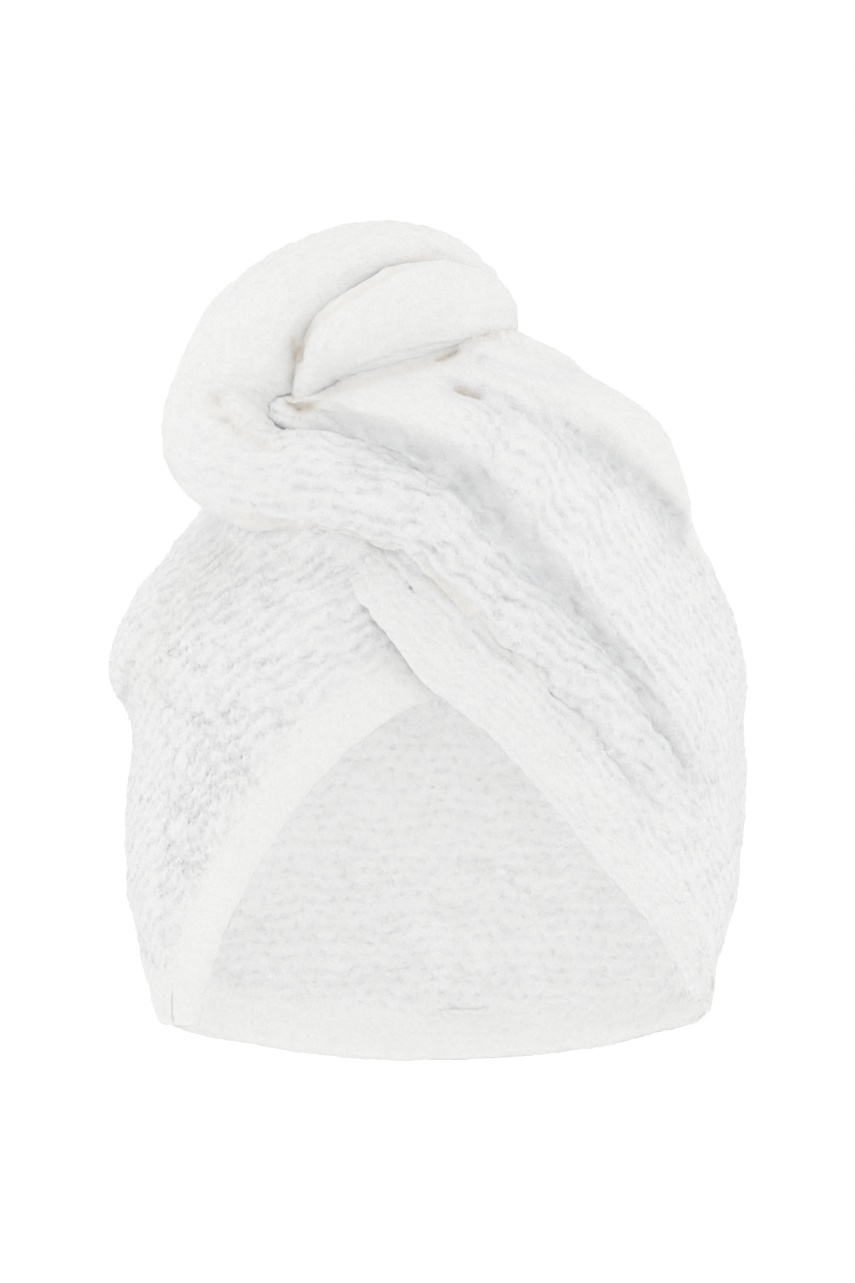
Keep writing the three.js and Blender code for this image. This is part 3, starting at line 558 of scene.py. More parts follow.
def sculpt(name, points, normals):
    """The strokes' push along the normals, and their warm painted shade in creases and pits and cool painted
    shade in valleys.
    """
    seen = pixels(points)
    facing = ease(0.05, 0.45, -normals[:, 1])
    push = np.zeros(len(points))
    warm_shade = np.zeros(len(points))
    cool_shade = np.zeros(len(points))
    for _, pieces, depth, reach_left, reach_right, warm_shading, cool_shading, line in STROKES:
        if name not in pieces:
            continue
        nearest, away, way, run = by_line(seen, np.array(line, float))
        on_left = way[:, 0] * away[:, 1] - way[:, 1] * away[:, 0] < 0
        reach = np.where(on_left, reach_left, reach_right)
        near = nearest / reach
        fade = ease(0, 0.1, run) * ease(1, 0.88, run) if len(line) > LONG_STROKE else 1.0
        push -= depth * facing * fade * np.exp(-near * near)
        warm_shade = np.maximum(warm_shade, warm_shading * facing * fade * np.exp(-(near * 1.1) ** 2))
        cool_shade = np.maximum(cool_shade, cool_shading * facing * fade * np.exp(-(near * 0.9) ** 2))
    return push, warm_shade, cool_shade


def make(node, points, faces, ends, values, threads, material, flat_faces=0):
    """A piece from points in millimetres, with its values for the materials."""
    name = node + "_cloth"
    mesh = bpy.data.meshes.new(name)
    mesh.vertices.add(len(points))
    mesh.vertices.foreach_set("co", (points / MM).astype(np.float32).ravel())
    loops = np.concatenate([faces.ravel()] + [np.asarray(e) for e in ends]).astype(np.int32)
    sizes = [4] * len(faces) + [len(e) for e in ends]
    starts = np.concatenate([[0], np.cumsum(sizes)[:-1]]).astype(np.int32)
    mesh.loops.add(len(loops))
    mesh.loops.foreach_set("vertex_index", loops)
    mesh.polygons.add(len(sizes))
    mesh.polygons.foreach_set("loop_start", starts)
    smooth = np.ones(len(sizes), bool)
    if flat_faces:
        smooth[-flat_faces:] = False
    mesh.polygons.foreach_set("use_smooth", smooth)
    mesh.update(calc_edges=True)
    mesh.validate()
    for key, value in values.items():
        layer = mesh.attributes.new(key, "FLOAT", "POINT")
        layer.data.foreach_set("value", np.asarray(value, np.float32).ravel())
    layer = mesh.attributes.new("threads", "FLOAT_VECTOR", "POINT")
    layer.data.foreach_set("vector", np.asarray(threads, np.float32).ravel())
    mesh.materials.append(material)
    obj = bpy.data.objects.new(name, mesh)
    bpy.context.scene.collection.objects.link(obj)
    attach(obj, "root")
    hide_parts(node)
    return obj


# The grid on which arc lengths are worked out
ARC_COLUMNS, ARC_ROWS = 720, 60


def hood_arc(angle, t, from_back=False):
    """Arc length round the hood's level outline from its front, or else from its back."""
    if from_back:
        front = np.full(np.shape(angle), -90.0)
        half = hood_arc(front + 179.999, t)
        s = hood_arc(angle, t)
        return np.where(s > 0, s - half, s - hood_arc(front - 179.999, t))
    steps = np.linspace(BACK - 360, BACK, ARC_COLUMNS + 1)
    rings = hood_base(steps[None, :], np.linspace(0, 1, ARC_ROWS + 1)[:, None])
    lengths = np.linalg.norm(np.diff(rings, axis=1), axis=-1).cumsum(1)
    lengths = np.concatenate([np.zeros((ARC_ROWS + 1, 1)), lengths], 1)
    middle = ARC_COLUMNS // 2
    lengths -= lengths[:, middle:middle + 1]
    wrapped = np.where(angle > BACK, angle - 360, angle)
    column = (wrapped + 360 - BACK) * ARC_COLUMNS / 360
    row = np.clip(t, 0, 1) * ARC_ROWS
    i = np.clip(np.floor(row).astype(int), 0, ARC_ROWS - 1)
    j = np.clip(np.floor(column).astype(int), 0, ARC_COLUMNS - 1)
    fi, fj = row - i, column - j
    top = lengths[i, j] * (1 - fj) + lengths[i, j + 1] * fj
    low = lengths[i + 1, j] * (1 - fj) + lengths[i + 1, j + 1] * fj
    return top * (1 - fi) + low * fi


def near_roll(points, path):
    """How far points lie outside a roll, and on which side of it."""
    t = np.linspace(0, 1, 240)
    centre, proud, side = section_at(path, t)
    sizes = along(path[:, 3:], t)
    flat = points.reshape(-1, 3)
    nearest = np.zeros(len(flat), int)
    for start in range(0, len(flat), 20000):
        part = flat[start:start + 20000]
        gaps = ((part[:, None] - centre[None]) ** 2).sum(-1)
        nearest[start:start + 20000] = gaps.argmin(1)
    away = flat - centre[nearest]
    a = np.sum(away * side[nearest], -1)
    b = np.sum(away * proud[nearest], -1)
    f = np.sqrt((a / sizes[nearest, 0]) ** 2 + (b / sizes[nearest, 1]) ** 2)
    outside = np.linalg.norm(away, axis=-1) * (1 - 1 / np.maximum(f, 1e-6))
    shape = points.shape[:-1]
    return outside.reshape(shape), a.reshape(shape), t[nearest].reshape(shape)


def drawn_smooth(points):
    """Where the cloth is drawn smooth: above valley E, and beside the knot above valley D."""
    seen = pixels(points)
    x, y = seen[..., 0], seen[..., 1]
    edge_e, edge_d = np.array(VALLEY_E, float), np.array(VALLEY_D, float)
    over_e = ease(-2, 10, np.interp(x, edge_e[:, 0], edge_e[:, 1]) - y)
    over_d = ease(6, 26, np.interp(x, edge_d[:, 0], edge_d[:, 1]) - y) * ease(500, 430, x)
    return np.maximum(over_e * ease(425, 450, x), over_d) * ease(60, 20, points[..., 1])


def edge_distance(points):
    """The distance of a grid's points to its first row across."""
    edge = points[:, 0]
    edge = np.concatenate([edge, (edge[1:] + edge[:-1]) / 2])
    flat = points.reshape(-1, 3)
    nearest = np.empty(len(flat))
    for start in range(0, len(flat), 8000):
        part = flat[start:start + 8000]
        squares = (part ** 2).sum(1)[:, None] + (edge ** 2).sum(1)[None] - 2 * part @ edge.T
        nearest[start:start + 8000] = np.sqrt(np.maximum(0, squares.min(1)))
    return nearest.reshape(points.shape[:-1])


# How far each panel dips at the back, so that one lies under the other at the seam
SEAM_DIP = 0.7


def cloth_sheet(node, places, shift, us, vs, profile, relief, turn, material,
                seam=None, fillet=None):
    """A sheet on the hood. profile gives its two faces and relief its weave's depth, from the
    distance to its lower edge. turn is the weave's turn in degrees on the outside. seam holds the
    angles between which a panel dips at the back, and fillet is how it rises beside a roll."""
    u, v = np.meshgrid(us, vs, indexing="ij")
    angle, t = places(u, v)
    base = hood_base(angle, t)
    normal = hood_normal(angle, t)
    lift = shift(angle, base, normal)
    heights = np.linalg.norm(np.diff(base, axis=1), axis=-1).cumsum(1)
    heights = np.concatenate([np.zeros((len(us), 1)), heights], 1)
    off_edge = edge_distance(base) if seam else heights
    up, down = profile(off_edge, v)
    if seam:
        dip = SEAM_DIP * ease(*seam, angle)
        up, down = up - dip, down + dip
    if fillet:
        lift = lift + fillet(base + normal * lift[..., None])
    s = hood_arc(angle, t)
    back = hood_arc(angle, t, from_back=True)
    d = heights + base[:, :1, 2]
    theta = math.radians(turn)
    x_out, y_out = weave(
        s * np.cos(theta) + d * np.sin(theta), d * np.cos(theta) - s * np.sin(theta), OUTSIDE_SEED
    )
    x_in, y_in = weave(back, d, INSIDE_SEED)
    amount = relief(off_edge, v, base)
    faces, rim = sheet_faces(*u.shape)
    sides = []
    for face, x, y, way in ((up, x_out, y_out, 1), (down, x_in, y_in, -1)):
        points = base + normal * (lift + face)[..., None]
        normals = grid_normals(points, way * normal)
        push, warm_shade, cool_shade = sculpt(node, points.reshape(-1, 3), way * normals.reshape(-1, 3))
        points = points + normals * way * push.reshape(u.shape)[..., None]
        wild = np.clip(1 + 0.35 * rumple(points, 13, 9), 0.4, 1.5)
        slack = 0.5 * rumple(points, 46, 15) + 0.22 * rumple(points, 17, 16)
        bumps = amount * wild * PUFF * (waffle(x, y) - PUFF_LEVEL)
        bumps = bumps + slack * (0.35 + 0.65 * amount) + pile(points)
        if way < 0:
            bumps = bumps - INSIDE_SINK * amount
        points = points + normals * bumps[..., None]
        sides.append((points.reshape(-1, 3), warm_shade, cool_shade, x.ravel(), y.ravel()))
    points, warm_shade, cool_shade, x, y = (np.concatenate(both) for both in zip(*sides))
    values = {"warm_shade": warm_shade, "cool_shade": cool_shade, "relief": np.tile(amount.ravel(), 2)}
    threads = np.stack([x, y, 0 * x], -1)
    return make(node, points, outward(points, faces), [], values, threads, material, rim)


def feed(tree, node, values):
    """Links a node's inputs, by name or number, to sockets, or else sets them to values."""
    for key, value in values:
        if isinstance(value, bpy.types.NodeSocket):
            tree.links.new(value, node.inputs[key])
        else:
            node.inputs[key].default_value = value
    return node


def add(tree, kind, **sockets):
    return feed(tree, tree.nodes.new(kind), sockets.items())


def mixed(tree, a, b, factor):
    node = tree.nodes.new("ShaderNodeMix")
    node.data_type = "RGBA"
    return feed(tree, node, ((0, factor), (6, a), (7, b))).outputs[2]


def reckon(tree, way, *values):
    node = tree.nodes.new("ShaderNodeMath")
    node.operation = way
    return feed(tree, node, enumerate(values)).outputs[0]


def vector_sum(tree, a, b):
    node = tree.nodes.new("ShaderNodeVectorMath")
    node.operation = "ADD"
    return feed(tree, node, enumerate((a, b))).outputs[0]


def attribute(tree, name, output="Fac"):
    node = tree.nodes.new("ShaderNodeAttribute")
    node.attribute_name = name
    return node.outputs[output]


# Colours of the cloth, what tints it, and the painted shade in its grooves, pits, creases and valleys
SMOOTH_CLOTH = (0.85, 0.85, 0.842, 1)
WAFFLE_CLOTH = (0.848, 0.848, 0.845, 1)
DULL_CLOTH = (0.76, 0.76, 0.75, 1)
GRAIN = (0.66, 0.66, 0.67, 1)
GROOVE_SHADE = (0.50, 0.50, 0.52, 1)
PIT_SPECK_SHADE = (0.40, 0.40, 0.42, 1)
WARM_CREASE_SHADE = (0.70, 0.60, 0.40, 1)
COOL_SHADE = (0.44, 0.45, 0.51, 1)
BUTTON_WHITE = (0.88, 0.87, 0.84, 1)
# How cotton loops take the light
COTTON = {"Roughness": 0.95, "Specular IOR Level": 0.1, "Sheen Weight": 0.2, "Sheen Roughness": 0.6}


def new_material(name):
    """A material, its node tree, its shader and its object coordinates."""
    material = bpy.data.materials.new(name)
    material.use_nodes = True
    tree = material.node_tree
    coords = tree.nodes.new("ShaderNodeTexCoord").outputs["Object"]
    return material, tree, tree.nodes["Principled BSDF"], coords


def noise(tree, coords, scale, detail, **more):
    return add(tree, "ShaderNodeTexNoise", Vector=coords, Scale=scale, Detail=detail, **more)


def ramp(tree, value, low, high, smooth=False):
    node = add(tree, "ShaderNodeMapRange", Value=value)
    if smooth:
        node.interpolation_type = "SMOOTHSTEP"
    node.inputs["From Min"].default_value = low
    node.inputs["From Max"].default_value = high
    return node.outputs["Result"]


def dent(tree, height, strength, distance, under=None):
    """A bump that goes inward, over the normal of another."""
    node = add(tree, "ShaderNodeBump", Height=height, Strength=strength, Distance=distance)
    node.invert = True
    if under is not None:
        tree.links.new(under, node.inputs["Normal"])
    return node.outputs["Normal"]


def towelling(name, depth):
    """Cotton knit: matt loops, painted shade in the rows of grooves and pits, warm painted shade in creases
    and cool painted shade in valleys.
    """
    material, tree, shader, coords = new_material(name)

    def times(a, b):
        return reckon(tree, "MULTIPLY", a, b)

    broad = noise(tree, coords, 30.0, 3.0)
    patches = noise(tree, coords, 110.0, 2.0)
    fine = noise(tree, coords, 1100.0, 4.0, Roughness=0.75)
    loops = add(tree, "ShaderNodeTexVoronoi", Vector=coords, Scale=950.0, Randomness=1.0)
    # the pits of the weave, at the whole numbers of its own coordinates
    jitter = noise(tree, coords, 420.0, 2.0)
    spread = tree.nodes.new("ShaderNodeVectorMath")
    spread.operation = "SCALE"
    feed(tree, spread, ((0, jitter.outputs["Color"]), ("Scale", 0.34)))
    threads = vector_sum(tree, attribute(tree, "threads", "Vector"), spread.outputs[0])
    cells = add(tree, "ShaderNodeTexVoronoi", Scale=1.0, Randomness=0.0)
    cells.voronoi_dimensions = "2D"
    tree.links.new(vector_sum(tree, threads, (0.33, 0.33, 0.0)), cells.inputs["Vector"])
    hollow = ramp(tree, cells.outputs["Distance"], 0.50, 0.06, smooth=True)
    relief = attribute(tree, "relief")
    strong = reckon(tree, "MULTIPLY_ADD", patches.outputs["Fac"], 1.0, 0.05)
    pits = times(times(hollow, relief), strong)
    colour = mixed(tree, SMOOTH_CLOTH, WAFFLE_CLOTH, relief)
    colour = mixed(tree, colour, DULL_CLOTH, times(broad.outputs["Fac"], 0.3))
    grain = times(reckon(tree, "SUBTRACT", fine.outputs["Fac"], 0.42), 0.7)
    colour = mixed(tree, colour, GRAIN, grain)
    # painted shade on the under side of each puff, just above the row's groove, stronger in its pits; the
    # same mask also dents the bump
    apart = tree.nodes.new("ShaderNodeSeparateXYZ")
    tree.links.new(threads, apart.inputs[0])
    row = reckon(tree, "SUBTRACT", apart.outputs[0], apart.outputs[1])
    wave = reckon(tree, "COSINE", times(reckon(tree, "SUBTRACT", row, 0.13), 2 * math.pi))
    groove = reckon(tree, "POWER", reckon(tree, "MULTIPLY_ADD", wave, 0.5, 0.5), 2.5)
    low = times(groove, reckon(tree, "MULTIPLY_ADD", hollow, 0.6, 0.4))
    low = times(times(low, relief), strong)
    colour = mixed(tree, colour, GROOVE_SHADE, times(low, 0.21))
    # dark specks of painted shade in the weave's pits
    specks = noise(tree, coords, 850.0, 1.0)
    dots = times(pits, ramp(tree, specks.outputs["Fac"], 0.50, 0.66))
    colour = mixed(tree, colour, PIT_SPECK_SHADE, times(dots, 0.28))
    # warm painted shade along the creases and in the pits
    colour = mixed(tree, colour, WARM_CREASE_SHADE, times(attribute(tree, "warm_shade"), 0.5))
    # cool painted shade in the valleys and pleats, broken up by knobbly noise
    knobs = noise(tree, coords, 190.0, 2.0)
    shade = reckon(tree, "MULTIPLY_ADD", knobs.outputs["Fac"], 1.5, -0.3)
    cool_shade = times(attribute(tree, "cool_shade"), shade)
    colour = mixed(tree, colour, COOL_SHADE, times(cool_shade, 0.27))
    tree.links.new(colour, shader.inputs["Base Color"])
    feed(tree, shader, COTTON.items())
    dented = dent(tree, low, 0.5, depth)
    dented = dent(tree, loops.outputs["Distance"], 0.5, 0.0004, dented)
    fuzz = add(tree, "ShaderNodeBump", Height=fine.outputs["Fac"], Strength=0.8, Distance=0.0006,
               Normal=dented)
    tree.links.new(fuzz.outputs["Normal"], shader.inputs["Normal"])
    return material


def plastic(name, base):
    """Moulded plastic, clouded and finely scratched."""
    material, tree, shader, coords = new_material(name)
    cloud = noise(tree, coords, 160.0, 3.0)
    darker = (base[0] * 0.93, base[1] * 0.93, base[2] * 0.9, 1)
    tree.links.new(mixed(tree, base, darker, cloud.outputs["Fac"]), shader.inputs["Base Color"])
    rough = reckon(tree, "MULTIPLY_ADD", cloud.outputs["Fac"], 0.15, 0.3)
    tree.links.new(rough, shader.inputs["Roughness"])
    scratch = noise(tree, coords, 1400.0, 2.0)
    bump = add(tree, "ShaderNodeBump", Height=scratch.outputs["Fac"], Strength=0.15, Distance=0.0001)
    tree.links.new(bump.outputs["Normal"], shader.inputs["Normal"])
    return material


waffle_cloth = towelling("waffle_towelling", 0.0008)
hem_cloth = towelling("hem_towelling", 0.0006)
button_plastic = plastic("button_plastic", BUTTON_WHITE)


def section_at(path, t):
    """A path's middle, the way out of the head and the way across, at a share t along it."""
    def at(share):
        return along(path[:, :3], share)

    centre = at(t)
    tangent = unit(at(np.minimum(1, t + 0.01)) - at(np.maximum(0, t - 0.01)))
    proud = centre - HEAD_MIDDLE
    proud = unit(proud - tangent * np.sum(proud * tangent, -1, keepdims=True))
    return centre, proud, np.cross(tangent, proud)


def roll_path(shares):
    """A roll's rows in millimetres."""
    x, y, z, across, proud = shares.T
    return np.column_stack([
        x * HALF_WIDTH,
        y * np.where(y < 0, FRONT_DEPTH, BACK_DEPTH),
        z * np.where(z < 0, NAPE_DROP, KNOT_RISE),
        across * ROLL_RADIUS,
        proud * ROLL_RADIUS,
    ])


def ray_point(ray):
    """Where a ray from the head's middle leaves the hood."""
    reach = np.linspace(0, 1, 3001) * 2 * NAPE_DROP
    at = HEAD_MIDDLE + reach[:, None] * ray
    _, x, y, half_x, half_y = level_at(level_of(at[:, 2]))
    u, v = np.abs(at[:, 0] - x) / half_x, np.abs(at[:, 1] - y) / half_y
    out = (u ** SQUARENESS + v ** SQUARENESS) ** (1 / SQUARENESS) - 1
    out = np.where(at[:, 2] > CROWN_RISE, 1, out)
    return at[int(np.argmax(out > 0))]


def tail_path():
    """The tail's rows in millimetres, bedded on the hood."""
    path = []
    for pitch, aside, wide, thick in TAIL:
        ray = np.array([0, math.sin(math.radians(pitch)), math.cos(math.radians(pitch))])
        thick = thick * TAIL_RADIUS
        centre = ray_point(ray) + ray * TAIL_BEDDING * thick
        path.append([aside * HALF_WIDTH, centre[1], centre[2], wide * TAIL_RADIUS, thick])
    return np.array(path)


outer = roll_path(OUTER_ROLL)
inner = roll_path(INNER_ROLL)
_, _, roll_across = section_at(outer, np.array([0.25]))
upper_way = -1 if roll_across[0, 2] < 0 else 1

# How deep and how far in a panel's lower edge is sunk in the hems
EDGE_SINK, EDGE_REACH = 1.1, 3.6


def panel_profile(h, v):
    sunk = EDGE_SINK * (1 - ease(0, EDGE_REACH, h))
    return -sunk, -CLOTH + sunk


def left_relief(h, v, base):
    return (0.2 + 0.8 * ease(2.0, 12.0, h)) * (1 - 0.5 * ease(0.8, 1.0, v))


def right_relief(h, v, base):
    depth = (0.55 + 0.45 * ease(2.0, 10.0, h)) * (1 - 0.5 * ease(0.8, 1.0, v))
    return depth * (1 - 0.75 * drawn_smooth(base))


def spaced(n, m):
    """A panel's columns: close together at the seam, n along the nape and m along the front."""
    seam = np.linspace(0, 0.0095, 9)
    nape = np.linspace(0.013, NAPE_SHARE, n, endpoint=False)
    return np.concatenate([seam, nape, np.linspace(NAPE_SHARE, 1, m)])


# How high each panel rises beside the outer roll, and within what reach of it
RIGHT_RISE, RIGHT_RISE_REACH = 3.5, 11.0
LEFT_RISE, LEFT_RISE_REACH = 5.0, 16.0


def beside_roll(points):
    """The right panel rises to meet the outer roll along the roll's upper side."""
    gap, side, t = near_roll(points, outer)
    upper = ease(0, 7, side * upper_way)
    close = np.clip(1 - np.maximum(gap, 0) / RIGHT_RISE_REACH, 0, 1) * ease(-14, -7, gap)
    knobs = 1 + 0.15 * rumple(points, 9, 33)
    rise = RIGHT_RISE * close ** 2 * upper * ease(0.5, 0.42, t) * ease(0.0, 0.06, t) * knobs
    (px, py), (wide, high), depth = KNOT_SWELL
    seen = pixels(points)
    off = ((seen[..., 0] - px) / wide) ** 2 + ((seen[..., 1] - py) / high) ** 2
    swell = np.exp(-off ** 2) * (points[..., 1] < 0) * np.maximum(0, points[..., 1] - depth) / 0.85
    return np.maximum(rise, swell)


def under_roll(points):
    """The left panel rises to meet the outer roll along the roll's lower side."""
    gap, side, t = near_roll(points, outer)
    lower = ease(0, 7, -side * upper_way)
    close = np.clip(1 - np.abs(gap) / LEFT_RISE_REACH, 0, 1)
    return LEFT_RISE * close ** 2 * lower * ease(0.3, 0.4, t) * ease(0.66, 0.56, t)


panel_rows = np.linspace(0, 1, 190) ** 1.08
left_panel = cloth_sheet(
    "left_panel", panel_places(LEFT_FRONT, 0), left_shift, spaced(110, 140), panel_rows,
    panel_profile, left_relief, LEFT_TURN, waffle_cloth,
    seam=(89.35, 88.4), fillet=under_roll)
right_panel = cloth_sheet(
    "right_panel", panel_places(RIGHT_FRONT, LAP_LEAN), right_shift, spaced(105, 145), panel_rows,
    panel_profile, right_relief, RIGHT_TURN, waffle_cloth,
    seam=(89.25, 90.0), fillet=beside_roll)

# The radius of a hem's folded edge, and how deep its hidden side sinks under the panel
HEM_FOLD = 2.6
HEM_SINK = 1.2


def hem_profile(width, thick):
    """A hem's two faces: a round fold at the edge, thicker than the cloth behind it."""
    def profile(h, v):
        w = v * (width + HEM_TUCK)
        edge = np.clip(w / HEM_FOLD, 0, 1)
        fold = np.sqrt(np.maximum(0, 1 - (1 - edge) ** 2))
        half = thick / 2 * fold + (CLOTH - thick) / 2 * ease(0.6, 0.9, w / width)
        half = half - HEM_SINK * ease(width + 0.2, width + HEM_TUCK, w)
        return half - CLOTH / 2, -half - CLOTH / 2

    return profile


def hem_rows(width):
    """A hem's rows, close together in its fold."""
    fold = HEM_FOLD / (width + HEM_TUCK)
    return np.concatenate([np.linspace(0, 1, 8) ** 2 * fold, np.linspace(fold, 1, 20)[1:]])


def hem_relief(low, gain, start):
    def relief(h, v, base):
        return low + gain * ease(start, 1.0, v)

    return relief


def hem(node, places, shift, columns, width, thick, relief, turn):
    return cloth_sheet(node, places, shift, np.linspace(0, 1, columns), hem_rows(width),
                       hem_profile(width, thick), relief, turn, hem_cloth)


left_hem = hem("left_front_hem", hem_places(LEFT_FRONT), left_shift, 230, FRONT_HEM, HEM_THICK,
               hem_relief(0.1, 0.13, 0.5), LEFT_TURN)
right_hem = hem("right_front_hem", hem_places(RIGHT_FRONT), right_shift, 260, FRONT_HEM, RIGHT_HEM_THICK,
                hem_relief(0.45, 0.12, 0.3), RIGHT_TURN)
nape_hem = hem("nape_hem", nape_places, left_shift, 420, NAPE_HEM, HEM_THICK,
               hem_relief(0.1, 0.13, 0.5), 0)

# Smoothing inside the outer roll's bend: rows reached on each side, and its softness in rows
BEND_REACH, BEND_SOFTNESS = 36, 14.0


def roll_piece(node, path, steps, sides, radius_share, relief, twist, seed, bend=None):
    """A wound roll along a path. radius_share gives its section, relief its weave's depth, and
    bend the share of the path whose inner side is smoothed."""
    t = np.linspace(0, 1, steps)
    centre, proud, side = section_at(path, t)
    sizes = along(path[:, 3:], t)
    turn = np.arange(sides) * 2 * math.pi / sides
    tt, ww = np.meshgrid(t, turn, indexing="ij")
    share = radius_share(ww, tt)
    points = (
        centre[:, None]
        + side[:, None] * (share * sizes[:, :1] * np.cos(turn))[..., None]
        + proud[:, None] * (share * sizes[:, 1:] * np.sin(turn))[..., None]
    )
    if bend:
        t0, t1 = bend
        inner_side = ease(-0.35, 0.5, np.cos(ww)) * ease(t0, t0 + 0.05, tt) * ease(t1, t1 - 0.05, tt)
        reach = np.arange(-BEND_REACH, BEND_REACH + 1)
        weights = np.exp(-(reach / BEND_SOFTNESS) ** 2 / 2)
        rows_near = np.clip(np.arange(steps)[:, None] + reach, 0, steps - 1)
        smoothed = np.einsum("k,ikjc->ijc", weights / weights.sum(), points[rows_near])
        points = points + (smoothed - points) * inner_side[..., None]
    run = np.linalg.norm(np.diff(centre, axis=0), axis=1).cumsum()
    s = np.concatenate([[0], run])[:, None] + 0 * ww
    girth = np.linalg.norm(np.diff(points, axis=1, append=points[:, :1]), axis=-1)
    d = np.concatenate([np.zeros((steps, 1)), girth.cumsum(1)[:, :-1]], 1)
    d = d - d[:, sides // 4:sides // 4 + 1]
    normals = grid_normals(points, points - centre[:, None], True)
    push, warm_shade, cool_shade = sculpt(node, points.reshape(-1, 3), normals.reshape(-1, 3))
    points = points + normals * push.reshape(ww.shape)[..., None]
    angle = math.radians(twist)
    x, y = weave(
        s * math.cos(angle) + d * math.sin(angle), d * math.cos(angle) - s * math.sin(angle), seed
    )
    amount = relief(ww, tt)
    wild = np.clip(1 + 0.4 * rumple(points, 11, seed + 9), 0.4, 1.4)
    streak = np.stack([s / 5.0, d], -1)
    bumps = amount * wild * PUFF * (waffle(x, y) - PUFF_LEVEL)
    bumps = bumps + 0.18 * rumple(streak, 7.5, seed + 6) + 0.3 * rumple(points, 24, seed + 7)
    bumps = bumps + 0.3 * amount * rumple(points, 9, seed + 8) + pile(points)
    points = (points + normals * bumps[..., None]).reshape(-1, 3)
    faces = outward(points, tube_faces(steps, sides))
    values = {"warm_shade": warm_shade, "cool_shade": cool_shade, "relief": amount}
    threads = np.stack([x, y, 0 * x], -1)
    return make(node, points, faces, tube_ends(steps, sides), values, threads, waffle_cloth)


def outer_share(ww, tt):
    """The outer roll's section: it swells inward round the knot, to meet the inner roll."""
    turned = (ww - math.radians(28) + math.pi) % (2 * math.pi) - math.pi
    return 1 + 0.52 * np.exp(-(turned / 0.72) ** 2) * ease(0.5, 0.6, tt) * ease(0.97, 0.82, tt)


def inner_share(ww, tt):
    return 1.0 + 0 * ww


def tail_share(ww, tt):
    """The tail's section: two strands, with a groove between them that winds round."""
    twist = 2 * math.pi * TAIL_TURNS * tt
    groove = TAIL_GROOVE * ease(0.86, 0.7, tt)
    return 1 - groove * (1 - np.abs(np.cos(ww - twist))) ** 1.3


def outer_relief(ww, tt):
    return 1.0 + 0.25 * ease(0.05, 0.15, tt) - 0.95 * ease(0.33, 0.6, tt)


def inner_relief(ww, tt):
    return 0.28 + 0 * ww


def tail_relief(ww, tt):
    return 0.8 - 0.4 * ease(0.7, 0.9, tt)


tail_rows = tail_path()
outer_roll = roll_piece("twist_outer_roll", outer, 430, 100, outer_share, outer_relief, 12, 51,
                        bend=(0.44, 0.72))
inner_roll = roll_piece("twist_inner_roll", inner, 140, 100, inner_share, inner_relief, 14, 61)
tail = roll_piece("twist_tail", tail_rows, 380, 110, tail_share, tail_relief, 25, 71)


def make_button(sides=64):
    """The button, turned about the way out of the tail's tip."""
    seat, facing, _ = section_at(tail_rows, np.array([BUTTON_PLACE]))
    seat, facing = seat[0], facing[0]
    tip_half = float(along(tail_rows[:, 4], np.array([BUTTON_PLACE]))[0])
    up_way = unit(np.cross(facing, np.array([1.0, 0.0, 0.0])))
    side_way = np.cross(up_way, facing)
    foot = -NECK_DEPTH * tip_half
    under = tip_half + BUTTON_GAP
    outline = [(POINT_RADIUS, foot), (NECK_RADIUS, foot)]
    outline = np.array(outline + [(radius, under + height) for radius, height in BUTTON_DISC])
    turns = np.arange(sides) * 2 * math.pi / sides
    ring = side_way[None] * np.cos(turns)[:, None] + up_way[None] * np.sin(turns)[:, None]
    points = (seat + outline[:, None, :1] * ring[None] + outline[:, None, 1:] * facing).reshape(-1, 3)
    faces = outward(points, tube_faces(len(outline), sides))
    make("nape_button", points, faces, tube_ends(len(outline), sides), {}, points, button_plastic)


make_button()

# The floor, in metres
FLOOR_HEIGHT = -0.42
FLOOR_HALF = 40.0
FLOOR_PAPER = {
    "Base Color": (0.94, 0.94, 0.94, 1), "Roughness": 0.9, "Specular IOR Level": 0.1,
    "Emission Color": (1, 1, 1, 1), "Emission Strength": 0.08,
}


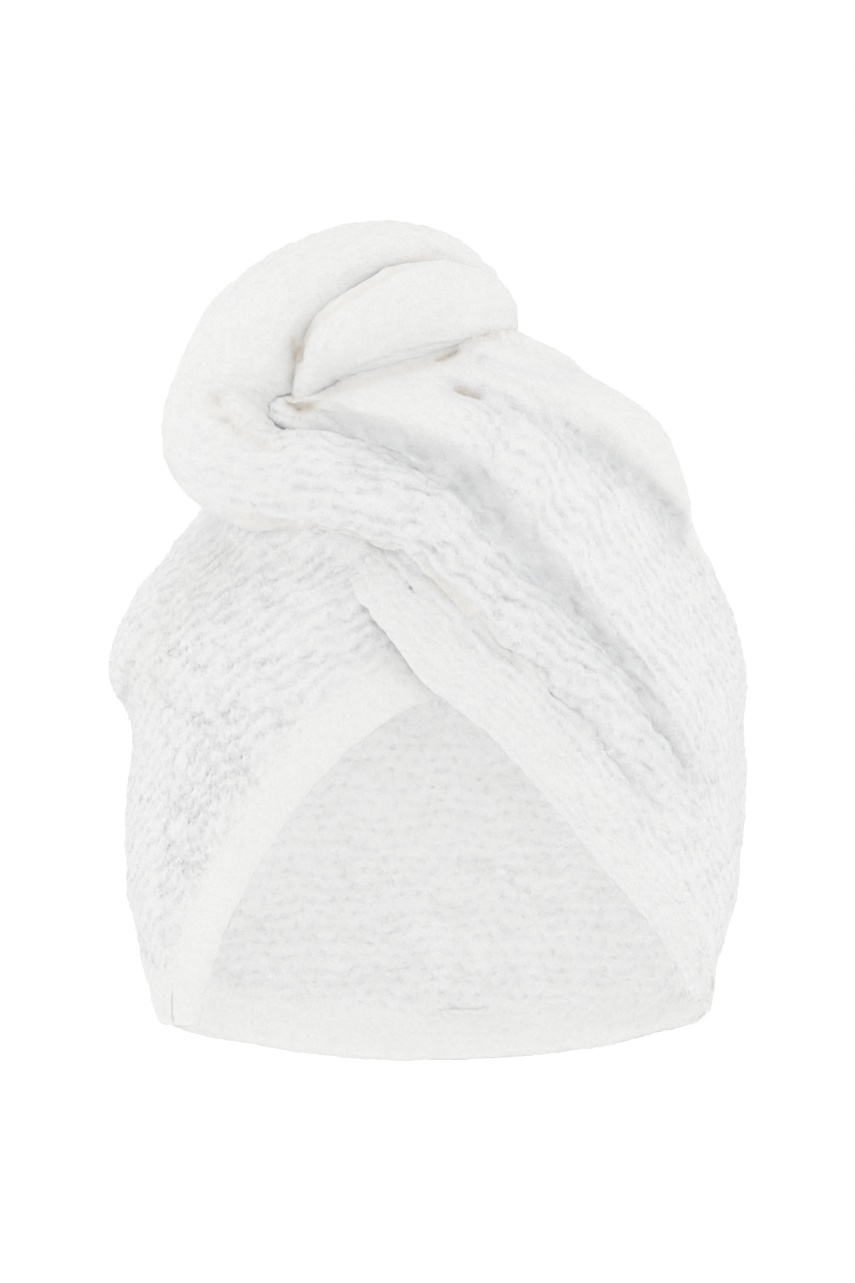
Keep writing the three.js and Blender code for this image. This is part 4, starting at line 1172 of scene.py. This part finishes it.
def floor():
    corners = [(-1, -1), (1, -1), (1, 1), (-1, 1)]
    mesh = bpy.data.meshes.new("floor")
    mesh.from_pydata([(x * FLOOR_HALF, y * FLOOR_HALF, FLOOR_HEIGHT) for x, y in corners], [], [(0, 1, 2, 3)])
    material = bpy.data.materials.new("floor_paper")
    material.use_nodes = True
    tree = material.node_tree
    feed(tree, tree.nodes["Principled BSDF"], FLOOR_PAPER.items())
    mesh.materials.append(material)
    obj = bpy.data.objects.new("floor", mesh)
    bpy.context.scene.collection.objects.link(obj)


floor()

# The soft lights, in metres and watts: name, place, what it looks at, size, power. The inner one is
# what the hood's thin cloth lets through to its inside.
LIGHTS = [
    ("left_side", (-2.0, -0.7, 0.3), (0, 0, -0.1), (1.2, 1.6), 5.2),
    ("right_side", (2.0, -0.7, 0.1), (0, 0, -0.1), (1.2, 1.6), 6.2),
    ("top", (-0.2, -0.6, 2.0), (0, 0, -0.1), (1.4, 1.4), 5.0),
    ("inner", (0.0, -0.03, -0.088), (0, 0.05, -0.2), (0.07, 0.05), 0.107),
]


def area_light(name, place, target, size, power):
    light = bpy.data.lights.new(name, "AREA")
    light.shape = "RECTANGLE"
    light.size, light.size_y = size
    light.energy = power
    obj = bpy.data.objects.new(name, light)
    bpy.context.scene.collection.objects.link(obj)
    way = Vector(target) - Vector(place)
    obj.location = place
    obj.rotation_euler = way.to_track_quat("-Z", "Y").to_euler()


for row in LIGHTS:
    area_light(*row)

world = bpy.data.worlds.new("studio")
bpy.context.scene.world = world
world.use_nodes = True
world.node_tree.nodes["Background"].inputs["Color"].default_value = (1, 1, 1, 1)
world.node_tree.nodes["Background"].inputs["Strength"].default_value = 1.0

camera = bpy.data.cameras.new("camera")
camera.sensor_fit = "VERTICAL"
camera.sensor_height = SENSOR_HEIGHT
camera.lens = SENSOR_HEIGHT * CAMERA_BACK / (PHOTO_HIGH * PIXEL)
camera_object = bpy.data.objects.new("camera", camera)
bpy.context.scene.collection.objects.link(camera_object)
camera_object.location = (0, -CAMERA_BACK / MM, CAMERA_HEIGHT / MM)
camera_object.rotation_euler = (math.pi / 2, 0, 0)
bpy.context.scene.camera = camera_object
bpy.context.scene.view_settings.view_transform = "Standard"
